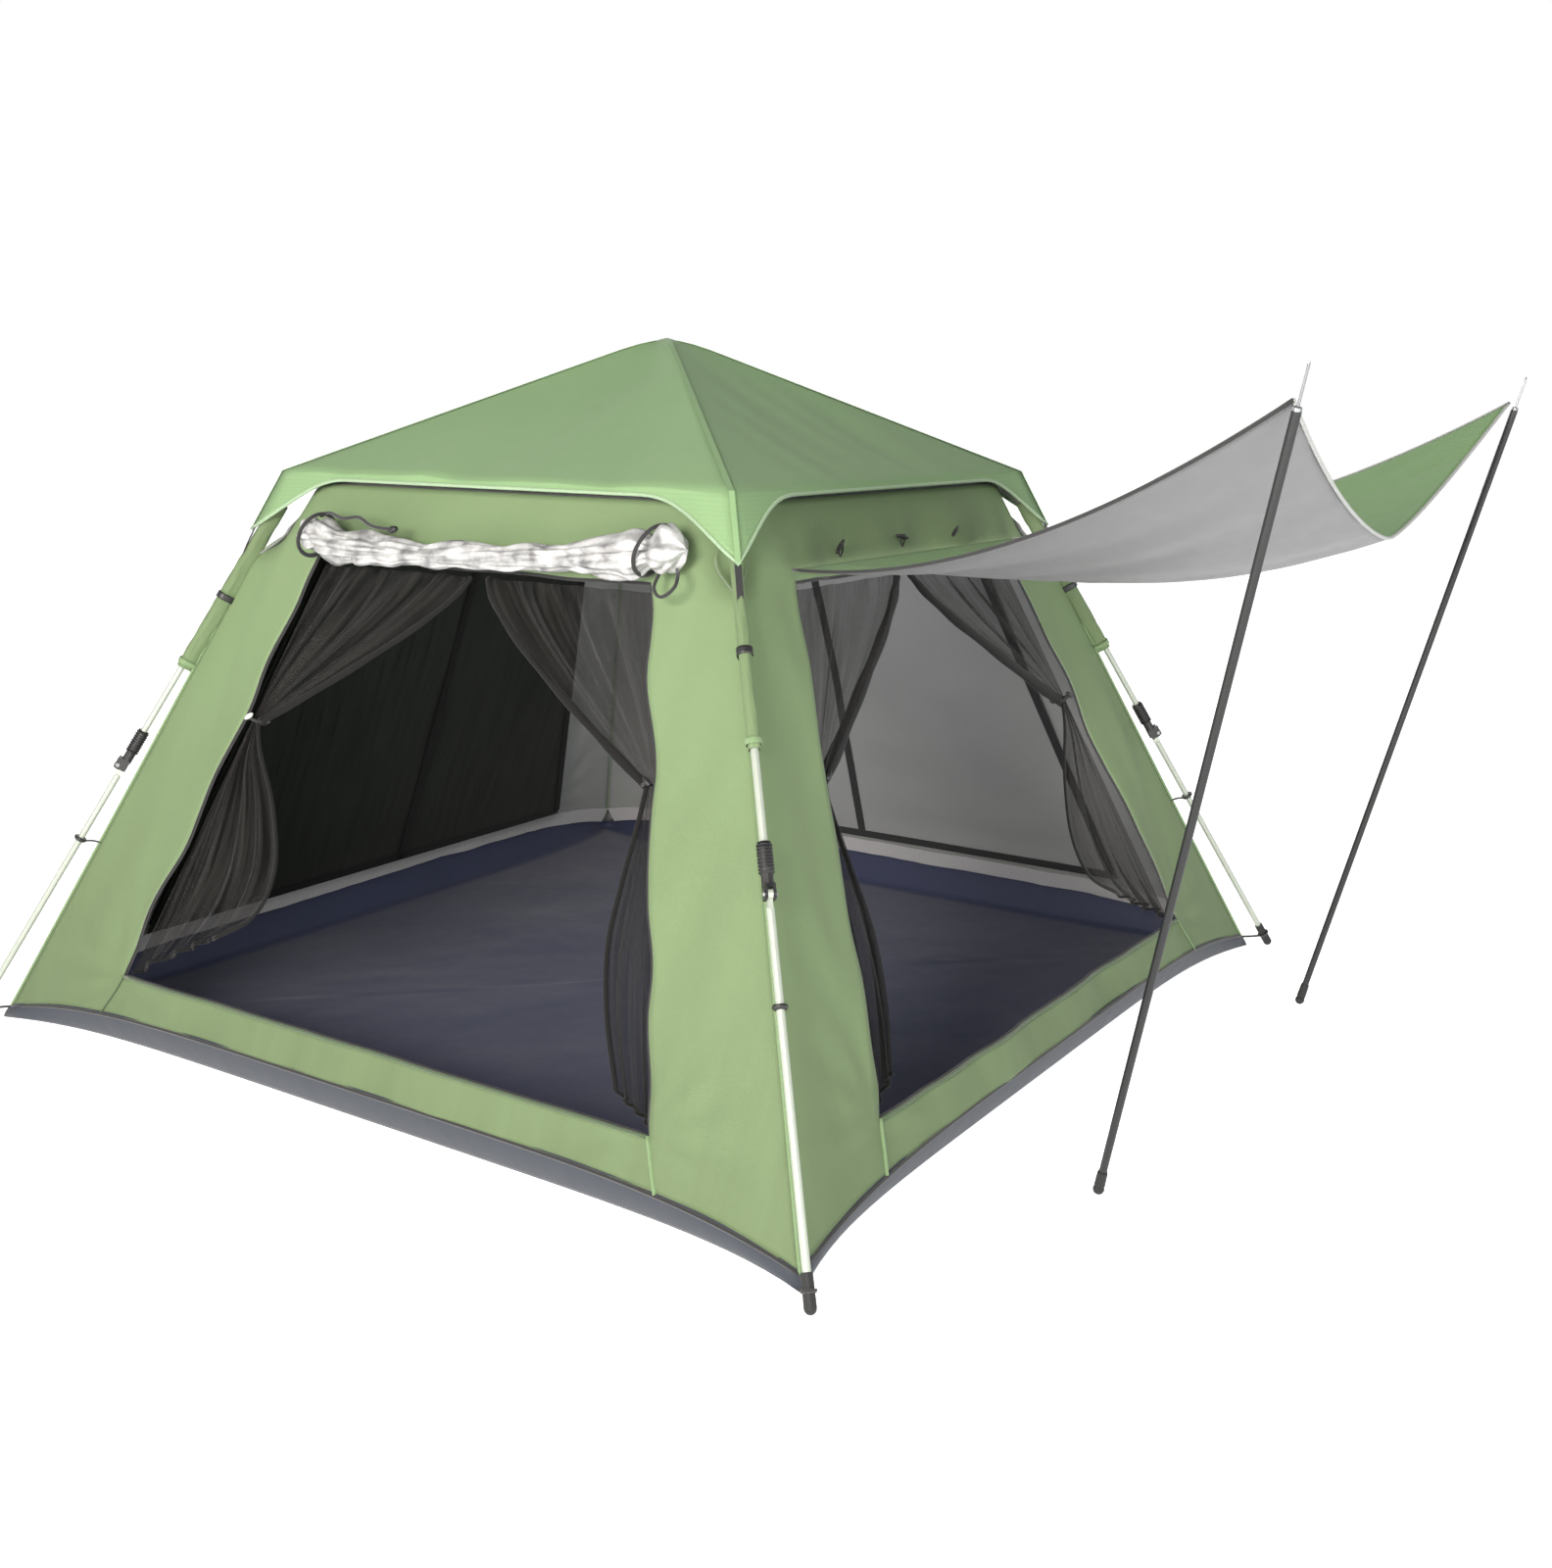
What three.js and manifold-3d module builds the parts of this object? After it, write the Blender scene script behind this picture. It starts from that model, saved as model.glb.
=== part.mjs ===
// Square instant tent with four external folding legs, a low pyramid fly,
// a rolled-up door on the left face and a door flap raised as an awning in front.
// Millimetres, +Z up, origin on the ground at the centre of the floor.
// Front is -Y, left is -X.

import * as THREE from 'three';
import { mergeVertices } from 'three/addons/utils/BufferGeometryUtils.js';
import Module from 'manifold-3d';

const wasm = await Module();
wasm.setup();

// ---------------------------------------------------------------- dimensions

// floor and walls
const FLOOR_HALF = 1200;
const FLOOR_BOW = 80;
const FLOOR_T = 3;
const CLOTH = 1.5;
const AWNING_T = 3;
const WALL_Z0 = 8;
const HEM_CORNER = 22;
const HEM_RISE = 60;
const WALL_Z1 = 1335;
const WALL_HALF0 = 1194;
const WALL_HALF1 = 648;
const WALL_CORNER_GAP = 9;
const NOTCH_Z = 1195;
const NOTCH_IN = 215;

// doorways, the same in all four walls
const DOOR_Z0 = 170;
const DOOR_Z1 = 1172;
const DOOR_HALF0 = 805;
const DOOR_HALF1 = 500;
const DOOR_LAP = 14;

// roof
const APEX_Z = 1700;
const FLY_HALF = 668;
const FLY_Z = 1362;
const FLY_HEM = 14;
const FLY_TAB = 150;
const LINER_APEX_Z = 1606;
const LINER_EAVE_Z = 1330;
const LINER_HALF = 622;

// frame, in the vertical plane through one corner: r out from the centre, z up
const HUB_R = 50;
const HUB_Z = 1650;
const SHOULDER_R = 919;
const SHOULDER_Z = 1346;
const FOOT_R = 1761;
const FOOT_Z = 12;
const KNEE_SHARE = 0.53;
const KNEE_RISE = 12;
const TUBE_R = 8;
const TUBE_WALL = 1;
const PIN_R = 4;
const PIN_GAP = 0.35;

// awning
const AWN_TOP_HALF = 520;
const AWN_TOP_Y = -722;
const AWN_TOP_Z = 1196;
const AWN_TIP_X = 842;
const AWN_TIP_Y = -1850;
const AWN_TIP_Z = 1550;
const AWN_EDGE_SAG = 85;
const AWN_MID_SAG = 265;
const POLE_FOOT_Y = -1475;
const POLE_FOOT_NEAR_X = -533;
const POLE_FOOT_FAR_X = 800;
const POLE_BALL = 12;

// ------------------------------------------------------------------- helpers

function closed(geometry) {
  const g = geometry.index ? geometry.clone() : geometry;
  g.deleteAttribute('normal');
  g.deleteAttribute('uv');
  const m = mergeVertices(g, 1e-3);
  const p = m.attributes.position;
  const kept = [];
  let volume = 0;
  const a = new THREE.Vector3();
  const b = new THREE.Vector3();
  const c = new THREE.Vector3();
  for (let i = 0; i < m.index.count; i += 3) {
    const t = [m.index.getX(i), m.index.getX(i + 1), m.index.getX(i + 2)];
    if (t[0] === t[1] || t[1] === t[2] || t[0] === t[2]) continue;
    a.fromBufferAttribute(p, t[0]);
    b.fromBufferAttribute(p, t[1]);
    c.fromBufferAttribute(p, t[2]);
    volume += a.dot(b.cross(c));
    kept.push(t);
  }
  const flat = [];
  for (const t of kept) {
    if (volume < 0) flat.push(t[0], t[2], t[1]);
    else flat.push(t[0], t[1], t[2]);
  }
  m.setIndex(flat);
  return m;
}

function toSolid(geometry) {
  const g = closed(geometry);
  return new wasm.Manifold(new wasm.Mesh({
    numProp: 3,
    vertProperties: new Float32Array(g.attributes.position.array),
    triVerts: new Uint32Array(g.index.array),
  }));
}

function fromSolid(solid) {
  const mesh = solid.getMesh();
  const g = new THREE.BufferGeometry();
  g.setAttribute('position', new THREE.BufferAttribute(mesh.vertProperties, 3));
  g.setIndex(new THREE.BufferAttribute(mesh.triVerts, 1));
  return g;
}

function join(parts) {
  return parts.reduce((whole, part) => whole.add(part));
}

function cut(base, tools) {
  return tools.reduce((left, tool) => left.subtract(tool), base);
}

function block(x0, x1, y0, y1, z0, z1) {
  const g = new THREE.BoxGeometry(x1 - x0, y1 - y0, z1 - z0);
  g.translate((x0 + x1) / 2, (y0 + y1) / 2, (z0 + z1) / 2);
  return toSolid(g);
}

// rod along X
function rodX(radius, x0, x1, sides = 12, z = 0) {
  const g = new THREE.CylinderGeometry(radius, radius, x1 - x0, sides);
  g.rotateZ(-Math.PI / 2);
  g.translate((x0 + x1) / 2, 0, z);
  return toSolid(g);
}

// rod along Y
function rodY(radius, y0, y1, x = 0, z = 0, sides = 12) {
  const g = new THREE.CylinderGeometry(radius, radius, y1 - y0, sides);
  g.translate(x, (y0 + y1) / 2, z);
  return toSolid(g);
}

// body of revolution about X from [x, radius] points
function turnX(profile, sides = 12) {
  const points = profile.map(([x, r]) => new THREE.Vector2(r, x));
  const g = new THREE.LatheGeometry(points, sides);
  g.rotateZ(-Math.PI / 2);
  return closed(g);
}

// open tube along X
function tubeX(x0, x1, radius = TUBE_R, wall = TUBE_WALL, sides = 12) {
  const inner = radius - wall;
  return turnX([[x0, inner], [x0, radius], [x1, radius], [x1, inner], [x0, inner]], sides);
}

// thin sheet over a grid: place(u, v) gives the lower face, lift is the way to the upper face
function sheet(us, vs, place, lift) {
  const g = new THREE.BoxGeometry(1, 1, 1, us.length - 1, vs.length - 1, 1);
  const p = g.attributes.position;
  for (let i = 0; i < p.count; i += 1) {
    const u = us[Math.round((p.getX(i) + 0.5) * (us.length - 1))];
    const v = vs[Math.round((p.getY(i) + 0.5) * (vs.length - 1))];
    const at = place(u, v);
    if (p.getZ(i) > 0) at.add(lift);
    p.setXYZ(i, at.x, at.y, at.z);
  }
  return closed(g);
}

function steps(n, from = -1, to = 1) {
  return Array.from({ length: n + 1 }, (_, i) => from + (to - from) * (i / n));
}

function paint(color, roughness, metalness = 0) {
  return new THREE.MeshStandardMaterial({ color, roughness, metalness, side: THREE.DoubleSide });
}

const GREEN = paint(0x86a878, 0.75);
const ROOF_GREEN = paint(0x93b585, 0.72);
const SILVER = paint(0xd2d0d4, 0.5);
const NAVY = paint(0x2c2f40, 0.7);
const MESH_BLACK = paint(0x2a2a2c, 0.85);
const LINER = paint(0x8c8c90, 0.6);
const ALLOY = paint(0xd5dbd0, 0.35, 0.8);
const BLACK = paint(0x161616, 0.45);
const POLE_BLACK = paint(0x222326, 0.4, 0.3);
const STEEL = paint(0xb8b8ba, 0.35, 0.9);

const tent = new THREE.Group();

function put(parent, name, geometry, material) {
  const mesh = new THREE.Mesh(geometry, material);
  mesh.name = name;
  parent.add(mesh);
  return mesh;
}

// ------------------------------------------------------------- floor and walls

// shares of the half width where the bowed edges have a vertex, corner to corner
const EDGE_SHARES = [-1, -0.93, -0.84, -0.7, -0.4, 0, 0.4, 0.7, 0.84, 0.93];

// the corners are drawn out to the feet, so each side bows inwards between them
function floorOutline() {
  const points = [];
  for (const turn of [0, 1, 2, 3]) {
    for (const share of EDGE_SHARES) {
      const inset = FLOOR_BOW * (1 - Math.pow(Math.abs(share), 6));
      const at = new THREE.Vector2(share * FLOOR_HALF, inset - FLOOR_HALF);
      points.push(at.rotateAround(new THREE.Vector2(), (turn * Math.PI) / 2));
    }
  }
  return new THREE.Shape(points);
}

function floorPanel() {
  return closed(new THREE.ExtrudeGeometry(floorOutline(), {
    depth: FLOOR_T,
    bevelEnabled: false,
  }));
}

// the walls are flat panels leaning inwards; v is measured up the slope
const WALL_RISE = WALL_Z1 - WALL_Z0;
const WALL_RUN = WALL_HALF0 - WALL_HALF1;
const WALL_SLOPE = Math.hypot(WALL_RISE, WALL_RUN);

function up(z) {
  return ((z - WALL_Z0) / WALL_RISE) * WALL_SLOPE;
}

function halfAt(z) {
  return WALL_HALF0 - (WALL_RUN * (z - WALL_Z0)) / WALL_RISE;
}

function doorOutline(grow) {
  const z0 = up(DOOR_Z0) - grow;
  const z1 = up(DOOR_Z1) + grow;
  const h0 = DOOR_HALF0 + grow;
  const h1 = DOOR_HALF1 + grow;
  const points = [
    [-h0, z0],
    [h0, z0],
    [h1, z1],
    [-h1, z1],
  ];
  return points.map(([x, y]) => new THREE.Vector2(x, y));
}

function wallGeometry() {
  const g = WALL_CORNER_GAP;
  const shape = new THREE.Shape();
  const top = up(WALL_Z1);
  const notch = up(NOTCH_Z);
  const hem = (share) => HEM_CORNER + HEM_RISE * (1 - Math.pow(Math.abs(share), 5));
  shape.moveTo(-(WALL_HALF0 - g), HEM_CORNER);
  for (const share of [...EDGE_SHARES.slice(1), 1]) {
    shape.lineTo(share * (WALL_HALF0 - g), hem(share));
  }
  shape.lineTo(halfAt(NOTCH_Z) - g, notch);
  shape.quadraticCurveTo(halfAt(NOTCH_Z) - 40, top, WALL_HALF1 - NOTCH_IN, top);
  shape.lineTo(-(WALL_HALF1 - NOTCH_IN), top);
  shape.quadraticCurveTo(-(halfAt(NOTCH_Z) - 40), top, -(halfAt(NOTCH_Z) - g), notch);
  shape.closePath();
  shape.holes.push(new THREE.Path(doorOutline(0).reverse()));
  return closed(new THREE.ExtrudeGeometry(shape, {
    depth: CLOTH,
    bevelEnabled: false,
    curveSegments: 6,
  }));
}

function doorPanelGeometry() {
  const shape = new THREE.Shape(doorOutline(DOOR_LAP));
  const g = new THREE.ExtrudeGeometry(shape, { depth: CLOTH, bevelEnabled: false });
  g.translate(0, 0, -CLOTH - 0.6);
  return closed(g);
}

// half of a mesh curtain drawn to one side and tied, hanging inside the doorway
function curtainGeometry(side) {
  const line = [
    [25, 1160],
    [485, 1160],
    [600, 800],
    [772, 200],
    [500, 200],
    [548, 770],
    [330, 940],
  ];
  const points = line.map(([x, z]) => new THREE.Vector2(side * x, up(z)));
  if (side < 0) points.reverse();
  const g = new THREE.ExtrudeGeometry(new THREE.Shape(points), { depth: CLOTH, bevelEnabled: false });
  g.translate(0, 0, -CLOTH - 22);
  return closed(g);
}

// a group whose XY plane is the wall's outer side: X along the wall, Y up the slope, Z outwards
function wallFrame(turn) {
  const around = new THREE.Group();
  around.rotation.z = turn;
  tent.add(around);
  const lean = new THREE.Group();
  lean.position.set(0, -WALL_HALF0, WALL_Z0);
  lean.rotation.x = Math.atan2(WALL_RISE, WALL_RUN);
  around.add(lean);
  return lean;
}

const FRONT = wallFrame(0);
const RIGHT = wallFrame(Math.PI / 2);
const BACK = wallFrame(Math.PI);
const LEFT = wallFrame(-Math.PI / 2);

put(tent, 'groundsheet', floorPanel(), NAVY);
put(FRONT, 'wall_front', wallGeometry(), GREEN);
put(RIGHT, 'wall_right', wallGeometry(), GREEN);
put(BACK, 'wall_back', wallGeometry(), GREEN);
put(LEFT, 'wall_left', wallGeometry(), GREEN);
put(RIGHT, 'door_panel_right', doorPanelGeometry(), MESH_BLACK);
put(BACK, 'door_panel_back', doorPanelGeometry(), MESH_BLACK);
put(FRONT, 'curtain_front_a', curtainGeometry(-1), MESH_BLACK);
put(FRONT, 'curtain_front_b', curtainGeometry(1), MESH_BLACK);
put(LEFT, 'curtain_left_a', curtainGeometry(-1), MESH_BLACK);
put(LEFT, 'curtain_left_b', curtainGeometry(1), MESH_BLACK);

// the left door, rolled up above its doorway
function doorRoll() {
  const half = 575;
  const profile = [[-half, 0], [-half, 36], [-half + 30, 52]];
  for (const t of steps(8, -0.8, 0.8)) {
    profile.push([t * half, 38 + 16 * t * t]);
  }
  profile.push([half - 30, 54], [half, 38], [half, 0]);
  return turnX(profile, 12);
}

const roll = put(LEFT, 'door_roll', doorRoll(), SILVER);
roll.position.set(0, up(1205), 60);

// ------------------------------------------------------------------------ roof

// where the spokes meet each side of the square, as a share of the half width
const SPOKES = [-1, -0.9, -0.8, -0.66, -0.35, 0, 0.35, 0.66, 0.8, 0.9];

// closed shell over a square plan: a lathe whose rings are squares
function squareShell(rings, place) {
  const around = 4 * SPOKES.length;
  const points = steps(rings - 1, 0, 1).map((t) => new THREE.Vector2(t, t));
  const g = new THREE.LatheGeometry(points, around);
  const p = g.attributes.position;
  const axis = new THREE.Vector3(0, 0, 1);
  for (let i = 0; i <= around; i += 1) {
    const side = Math.floor((i % around) / SPOKES.length);
    const share = SPOKES[i % SPOKES.length];
    for (let j = 0; j < rings; j += 1) {
      const at = place(j, share).applyAxisAngle(axis, (side * Math.PI) / 2);
      p.setXYZ(i * rings + j, at.x, at.y, at.z);
    }
  }
  return closed(g);
}

// a point of the fly: m runs from the apex to the eave, hem from the eave to the loose edge
function flyPoint(m, hem, share) {
  const corner = Math.pow(Math.max(0, Math.abs(share) - 0.66) / 0.34, 2.2);
  const drop = hem * (FLY_HEM + (FLY_TAB - FLY_HEM) * corner);
  const x = m * FLY_HALF + 0.38 * drop;
  const y = share * (m * FLY_HALF + 0.38 * drop * corner);
  return new THREE.Vector3(x, y, APEX_Z - (APEX_Z - FLY_Z) * m - 0.925 * drop);
}

function flyShell() {
  const rings = [[0, 0], [0.5, 0], [1, 0], [1, 0.5], [1, 1]];
  const n = rings.length;
  return squareShell(2 * n, (j, share) => {
    const inside = j >= n;
    const [m, hem] = rings[inside ? 2 * n - 1 - j : j];
    const at = flyPoint(m, hem, share);
    if (inside) {
      at.z -= CLOTH;
      at.x -= hem > 0 ? 2 : 0;
    }
    return at;
  });
}

function linerShell() {
  return squareShell(4, (j, share) => {
    const m = j === 0 || j === 3 ? 0 : 1;
    const z = LINER_APEX_Z - (LINER_APEX_Z - LINER_EAVE_Z) * m - (j > 1 ? CLOTH : 0);
    return new THREE.Vector3(m * LINER_HALF, m * LINER_HALF * share, z);
  });
}

put(tent, 'roof_fly', flyShell(), ROOF_GREEN);
put(tent, 'roof_liner', linerShell(), LINER);

// ------------------------------------------------------------------- hub, legs

const ROOF_ANGLE = Math.atan2(HUB_Z - SHOULDER_Z, SHOULDER_R - HUB_R);
const ROOF_LENGTH = Math.hypot(HUB_Z - SHOULDER_Z, SHOULDER_R - HUB_R);
const LEG_ANGLE = Math.atan2(SHOULDER_Z - FOOT_Z, FOOT_R - SHOULDER_R);
const LEG_LENGTH = Math.hypot(SHOULDER_Z - FOOT_Z, FOOT_R - SHOULDER_R);
const UPPER_LENGTH = LEG_LENGTH * KNEE_SHARE;
const LOWER_LENGTH = LEG_LENGTH - UPPER_LENGTH;

const CORNERS = [
  ['fl', -0.75 * Math.PI],
  ['fr', -0.25 * Math.PI],
  ['br', 0.25 * Math.PI],
  ['bl', 0.75 * Math.PI],
];

function turned(solid, angle) {
  return solid.rotate([0, 0, (angle * 180) / Math.PI]);
}

function hubBody() {
  const core = new THREE.CylinderGeometry(34, 38, 34, 16);
  core.rotateX(Math.PI / 2);
  const solids = [toSolid(core)];
  const slots = [];
  const pins = [];
  for (const [, angle] of CORNERS) {
    solids.push(turned(block(25, 60, -11.5, 11.5, -11, 11), angle));
    slots.push(turned(block(37, 62, -5.6, 5.6, -20, 20), angle));
    pins.push(turned(rodY(PIN_R, -10, 10, HUB_R, 0), angle));
  }
  const g = fromSolid(join([cut(join(solids), slots), ...pins]));
  g.translate(0, 0, HUB_Z);
  return closed(g);
}

function hubCap() {
  const g = new THREE.CylinderGeometry(20, 30, 7, 16);
  g.rotateX(Math.PI / 2);
  g.translate(0, 0, HUB_Z + 17 + 0.4 + 3.5);
  return closed(g);
}

// flat tongue round a pivot at the origin, running into a round plug
function tongue(neckFrom, neckTo, low, high, pivotZ) {
  const solids = [
    rodY(9, -5, 5, 0, pivotZ, 16),
    block(neckFrom, neckTo, -5, 5, low, high),
  ];
  return join(solids);
}

function roofPole() {
  const parts = [
    tongue(0, 22, -6, 6, 0),
    rodX(TUBE_R - 0.4, 19, 42),
    toSolid(tubeX(20, ROOF_LENGTH - 24.6)),
  ];
  const hole = rodY(PIN_R + PIN_GAP, -6, 6, 0, 0);
  return closed(fromSolid(cut(join(parts), [hole])));
}

// fork on the roof pole's outer end; pivot at the origin
function shoulderFork() {
  const body = join([rodX(11, -62, -14, 14), block(-20, 12, -11, 11, -11, 11)]);
  const tools = [
    block(-13.5, 14, -5.6, 5.6, -12, 12),
    rodX(TUBE_R + 0.4, -63, -24, 12),
    rodY(PIN_R + PIN_GAP, -12, 12, 0, 0),
  ];
  return closed(fromSolid(cut(body, tools)));
}

function rivet(z) {
  const profile = [
    [-14, 0],
    [-14, 5],
    [-11.4, 6.5],
    [-11.4, PIN_R],
    [11.4, PIN_R],
    [11.4, 6.5],
    [14, 5],
    [14, 0],
  ];
  const g = turnX(profile, 10);
  g.rotateZ(Math.PI / 2);
  g.translate(0, 0, z);
  return closed(g);
}

function upperLeg() {
  const parts = [
    tongue(0, 22, -6, 6, 0),
    rodX(TUBE_R - 0.4, 19, 42),
    toSolid(tubeX(20, UPPER_LENGTH - 24.6)),
  ];
  const hole = rodY(PIN_R + PIN_GAP, -6, 6, 0, 0);
  return closed(fromSolid(cut(join(parts), [hole])));
}

// knee fork on the upper leg's lower end; its pivot stands above the tube's axis
function kneeFork() {
  const ears = block(-20, 9, -11, 11, -10, KNEE_RISE + 8);
  const nose = rodY(11, -11, 11, 0, KNEE_RISE - 2, 16);
  const body = join([rodX(12, -62, -14, 14), ears, nose]);
  const tools = [
    block(-13.5, 14, -5.6, 5.6, -14, 30),
    block(-22, -13, -5.6, 5.6, 12.2, 30),
    rodX(TUBE_R + 0.4, -63, -24, 12),
    rodY(PIN_R + PIN_GAP, -12, 12, 0, KNEE_RISE),
  ];
  return closed(fromSolid(cut(body, tools)));
}

function lowerLeg() {
  const parts = [
    tongue(0, 27, -7, 8, KNEE_RISE),
    rodX(TUBE_R - 0.4, 24, 48),
    toSolid(tubeX(25, LOWER_LENGTH - 34)),
  ];
  const hole = rodY(PIN_R + PIN_GAP, -6, 6, 0, KNEE_RISE);
  return closed(fromSolid(cut(join(parts), [hole])));
}

// rounded foot cap with a socket for the tube; the ball's centre is at the origin
function footCap() {
  const ball = 12;
  const profile = [[ball, 0]];
  for (const a of [22, 45, 68]) {
    const t = (a * Math.PI) / 180;
    profile.push([ball * Math.cos(t), ball * Math.sin(t)]);
  }
  profile.push([0, ball], [-12, ball], [-60, 11], [-60, TUBE_R + 0.4]);
  profile.push([-33.6, TUBE_R + 0.4], [-33.6, 0]);
  return turnX(profile, 12);
}

put(tent, 'hub_body', hubBody(), BLACK);
put(tent, 'hub_cap', hubCap(), BLACK);

for (const [tag, angle] of CORNERS) {
  const corner = new THREE.Group();
  corner.rotation.z = angle;
  tent.add(corner);

  const roofLink = new THREE.Group();
  roofLink.position.set(HUB_R, 0, HUB_Z);
  roofLink.rotation.y = ROOF_ANGLE;
  corner.add(roofLink);
  put(roofLink, `roof_pole_${tag}`, roofPole(), ALLOY);
  const fork = put(roofLink, `shoulder_fork_${tag}`, shoulderFork(), BLACK);
  fork.position.x = ROOF_LENGTH;
  const pin = put(roofLink, `shoulder_pin_${tag}`, rivet(0), STEEL);
  pin.position.x = ROOF_LENGTH;

  const legLink = new THREE.Group();
  legLink.position.set(SHOULDER_R, 0, SHOULDER_Z);
  legLink.rotation.y = LEG_ANGLE;
  corner.add(legLink);
  put(legLink, `upper_leg_${tag}`, upperLeg(), ALLOY);
  const knee = put(legLink, `knee_fork_${tag}`, kneeFork(), BLACK);
  knee.position.x = UPPER_LENGTH;
  const kneePin = put(legLink, `knee_pin_${tag}`, rivet(KNEE_RISE), STEEL);
  kneePin.position.x = UPPER_LENGTH;
  const lower = put(legLink, `lower_leg_${tag}`, lowerLeg(), ALLOY);
  lower.position.x = UPPER_LENGTH;
  const foot = put(legLink, `foot_${tag}`, footCap(), BLACK);
  foot.position.x = LEG_LENGTH;
}

// ---------------------------------------------------------------------- awning

function awningPoint(u, v) {
  const half = AWN_TOP_HALF + (AWN_TIP_X - 16 - AWN_TOP_HALF) * v;
  const edge = AWN_TOP_Z + (AWN_TIP_Z - AWN_TOP_Z) * v - AWN_EDGE_SAG * 4 * v * (1 - v);
  const dip = AWN_MID_SAG * Math.pow(v, 1.1) * (1 - Math.pow(Math.abs(u), 1.4));
  const tip = AWN_TIP_Y + 14 + 40 * (1 - u * u) * v;
  const y = AWN_TOP_Y + (tip - AWN_TOP_Y) * v;
  return new THREE.Vector3(u * half, y, edge - dip);
}

const UP = new THREE.Vector3(0, 0, AWNING_T);
put(tent, 'awning', sheet(steps(12), steps(6, 0, 1), awningPoint, UP), GREEN);

// a support pole standing on its foot ball; X runs up the pole
function poleFrame(footX, tipX) {
  const foot = new THREE.Vector3(footX, POLE_FOOT_Y, 12);
  const tip = new THREE.Vector3(tipX, AWN_TIP_Y, AWN_TIP_Z);
  const along = tip.clone().sub(foot);
  const frame = new THREE.Group();
  frame.position.copy(foot);
  frame.quaternion.setFromUnitVectors(new THREE.Vector3(1, 0, 0), along.clone().normalize());
  tent.add(frame);
  return [frame, along.length()];
}

// rubber ball that the pole turns on; its centre is at the origin
function poleTip() {
  const profile = [[-POLE_BALL, 0]];
  for (const a of [150, 120, 90, 60, 30]) {
    const t = (a * Math.PI) / 180;
    profile.push([POLE_BALL * Math.cos(t), POLE_BALL * Math.sin(t)]);
  }
  profile.push([POLE_BALL, 0]);
  return turnX(profile, 12);
}

// rubber sleeve over the tube's lower end, clear of the ball as the pole turns
function poleSleeve() {
  const bore = TUBE_R + 0.4;
  return turnX([[9.6, bore], [9.6, 11], [42, 10.4], [46, 9.4], [46, bore], [9.6, bore]], 12);
}

function spike(at) {
  const plug = TUBE_R - TUBE_WALL - 0.4;
  const profile = [
    [at - 30, 0],
    [at - 30, plug],
    [at + 0.4, plug],
    [at + 0.4, TUBE_R],
    [at + 6, TUBE_R - 1],
    [at + 8, 2.5],
    [at + 74, 2.5],
    [at + 78, 1],
    [at + 78, 0],
  ];
  return turnX(profile, 12);
}

for (const [tag, footX, tipX] of [
  ['left', POLE_FOOT_NEAR_X, -AWN_TIP_X],
  ['right', POLE_FOOT_FAR_X, AWN_TIP_X],
]) {
  const [frame, length] = poleFrame(footX, tipX);
  const end = length - 16;
  put(frame, `awning_pole_tip_${tag}`, poleTip(), BLACK);
  put(frame, `awning_pole_sleeve_${tag}`, poleSleeve(), BLACK);
  put(frame, `awning_pole_${tag}`, tubeX(12.8, end), POLE_BLACK);
  put(frame, `awning_spike_${tag}`, spike(end), STEEL);
}

export default tent;
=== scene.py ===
"""Square instant tent: cloth, mesh, bindings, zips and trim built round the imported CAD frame.

Metres, +Z up, origin on the ground at the centre of the floor; front is -Y, left is -X.
"""

import math

import bpy
import numpy as np
from mathutils import Matrix, Vector, noise


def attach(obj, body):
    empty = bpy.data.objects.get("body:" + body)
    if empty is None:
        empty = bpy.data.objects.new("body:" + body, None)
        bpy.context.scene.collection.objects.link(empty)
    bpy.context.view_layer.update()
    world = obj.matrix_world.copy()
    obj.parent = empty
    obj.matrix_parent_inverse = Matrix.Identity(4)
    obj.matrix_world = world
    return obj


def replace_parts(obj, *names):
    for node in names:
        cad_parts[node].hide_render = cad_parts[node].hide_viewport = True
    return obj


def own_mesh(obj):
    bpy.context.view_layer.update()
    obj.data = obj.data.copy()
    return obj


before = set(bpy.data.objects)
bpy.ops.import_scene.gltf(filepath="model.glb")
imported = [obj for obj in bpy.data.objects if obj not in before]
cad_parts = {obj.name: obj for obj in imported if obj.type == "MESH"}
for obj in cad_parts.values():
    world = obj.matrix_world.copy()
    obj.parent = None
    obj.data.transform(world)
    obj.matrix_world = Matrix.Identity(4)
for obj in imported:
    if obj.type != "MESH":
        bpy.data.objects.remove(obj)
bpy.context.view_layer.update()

# --- dimensions ---

# walls, as in the CAD
WALL_Z0, WALL_Z1 = 0.008, 1.335
WALL_HALF0, WALL_HALF1 = 1.194, 0.648
DOOR_Z0, DOOR_Z1 = 0.170, 1.172
DOOR_HALF0, DOOR_HALF1 = 0.805, 0.500
HEM_CORNER, HEM_RISE = 0.030, 0.058
FLOOR_HALF, FLOOR_BOW = 1.200, 0.080

# roof
APEX_Z, FLY_HALF, FLY_Z = 1.700, 0.668, 1.362
FLY_HEM, FLY_TAB = 0.016, 0.150
LINER_APEX_Z, LINER_EAVE_Z, LINER_HALF = 1.606, 1.330, 0.622

# awning
AWN_TOP_HALF, AWN_TOP_Y, AWN_TOP_Z = 0.520, -0.722, 1.196
AWN_TIP_X, AWN_TIP_Y, AWN_TIP_Z = 0.842, -1.850, 1.550
AWN_EDGE_SAG, AWN_MID_SAG = 0.085, 0.265

# legs, in the vertical plane through a corner
SHOULDER = (0.919, 1.346)
FOOT = (1.761, 0.012)
KNEE_SHARE = 0.53

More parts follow.
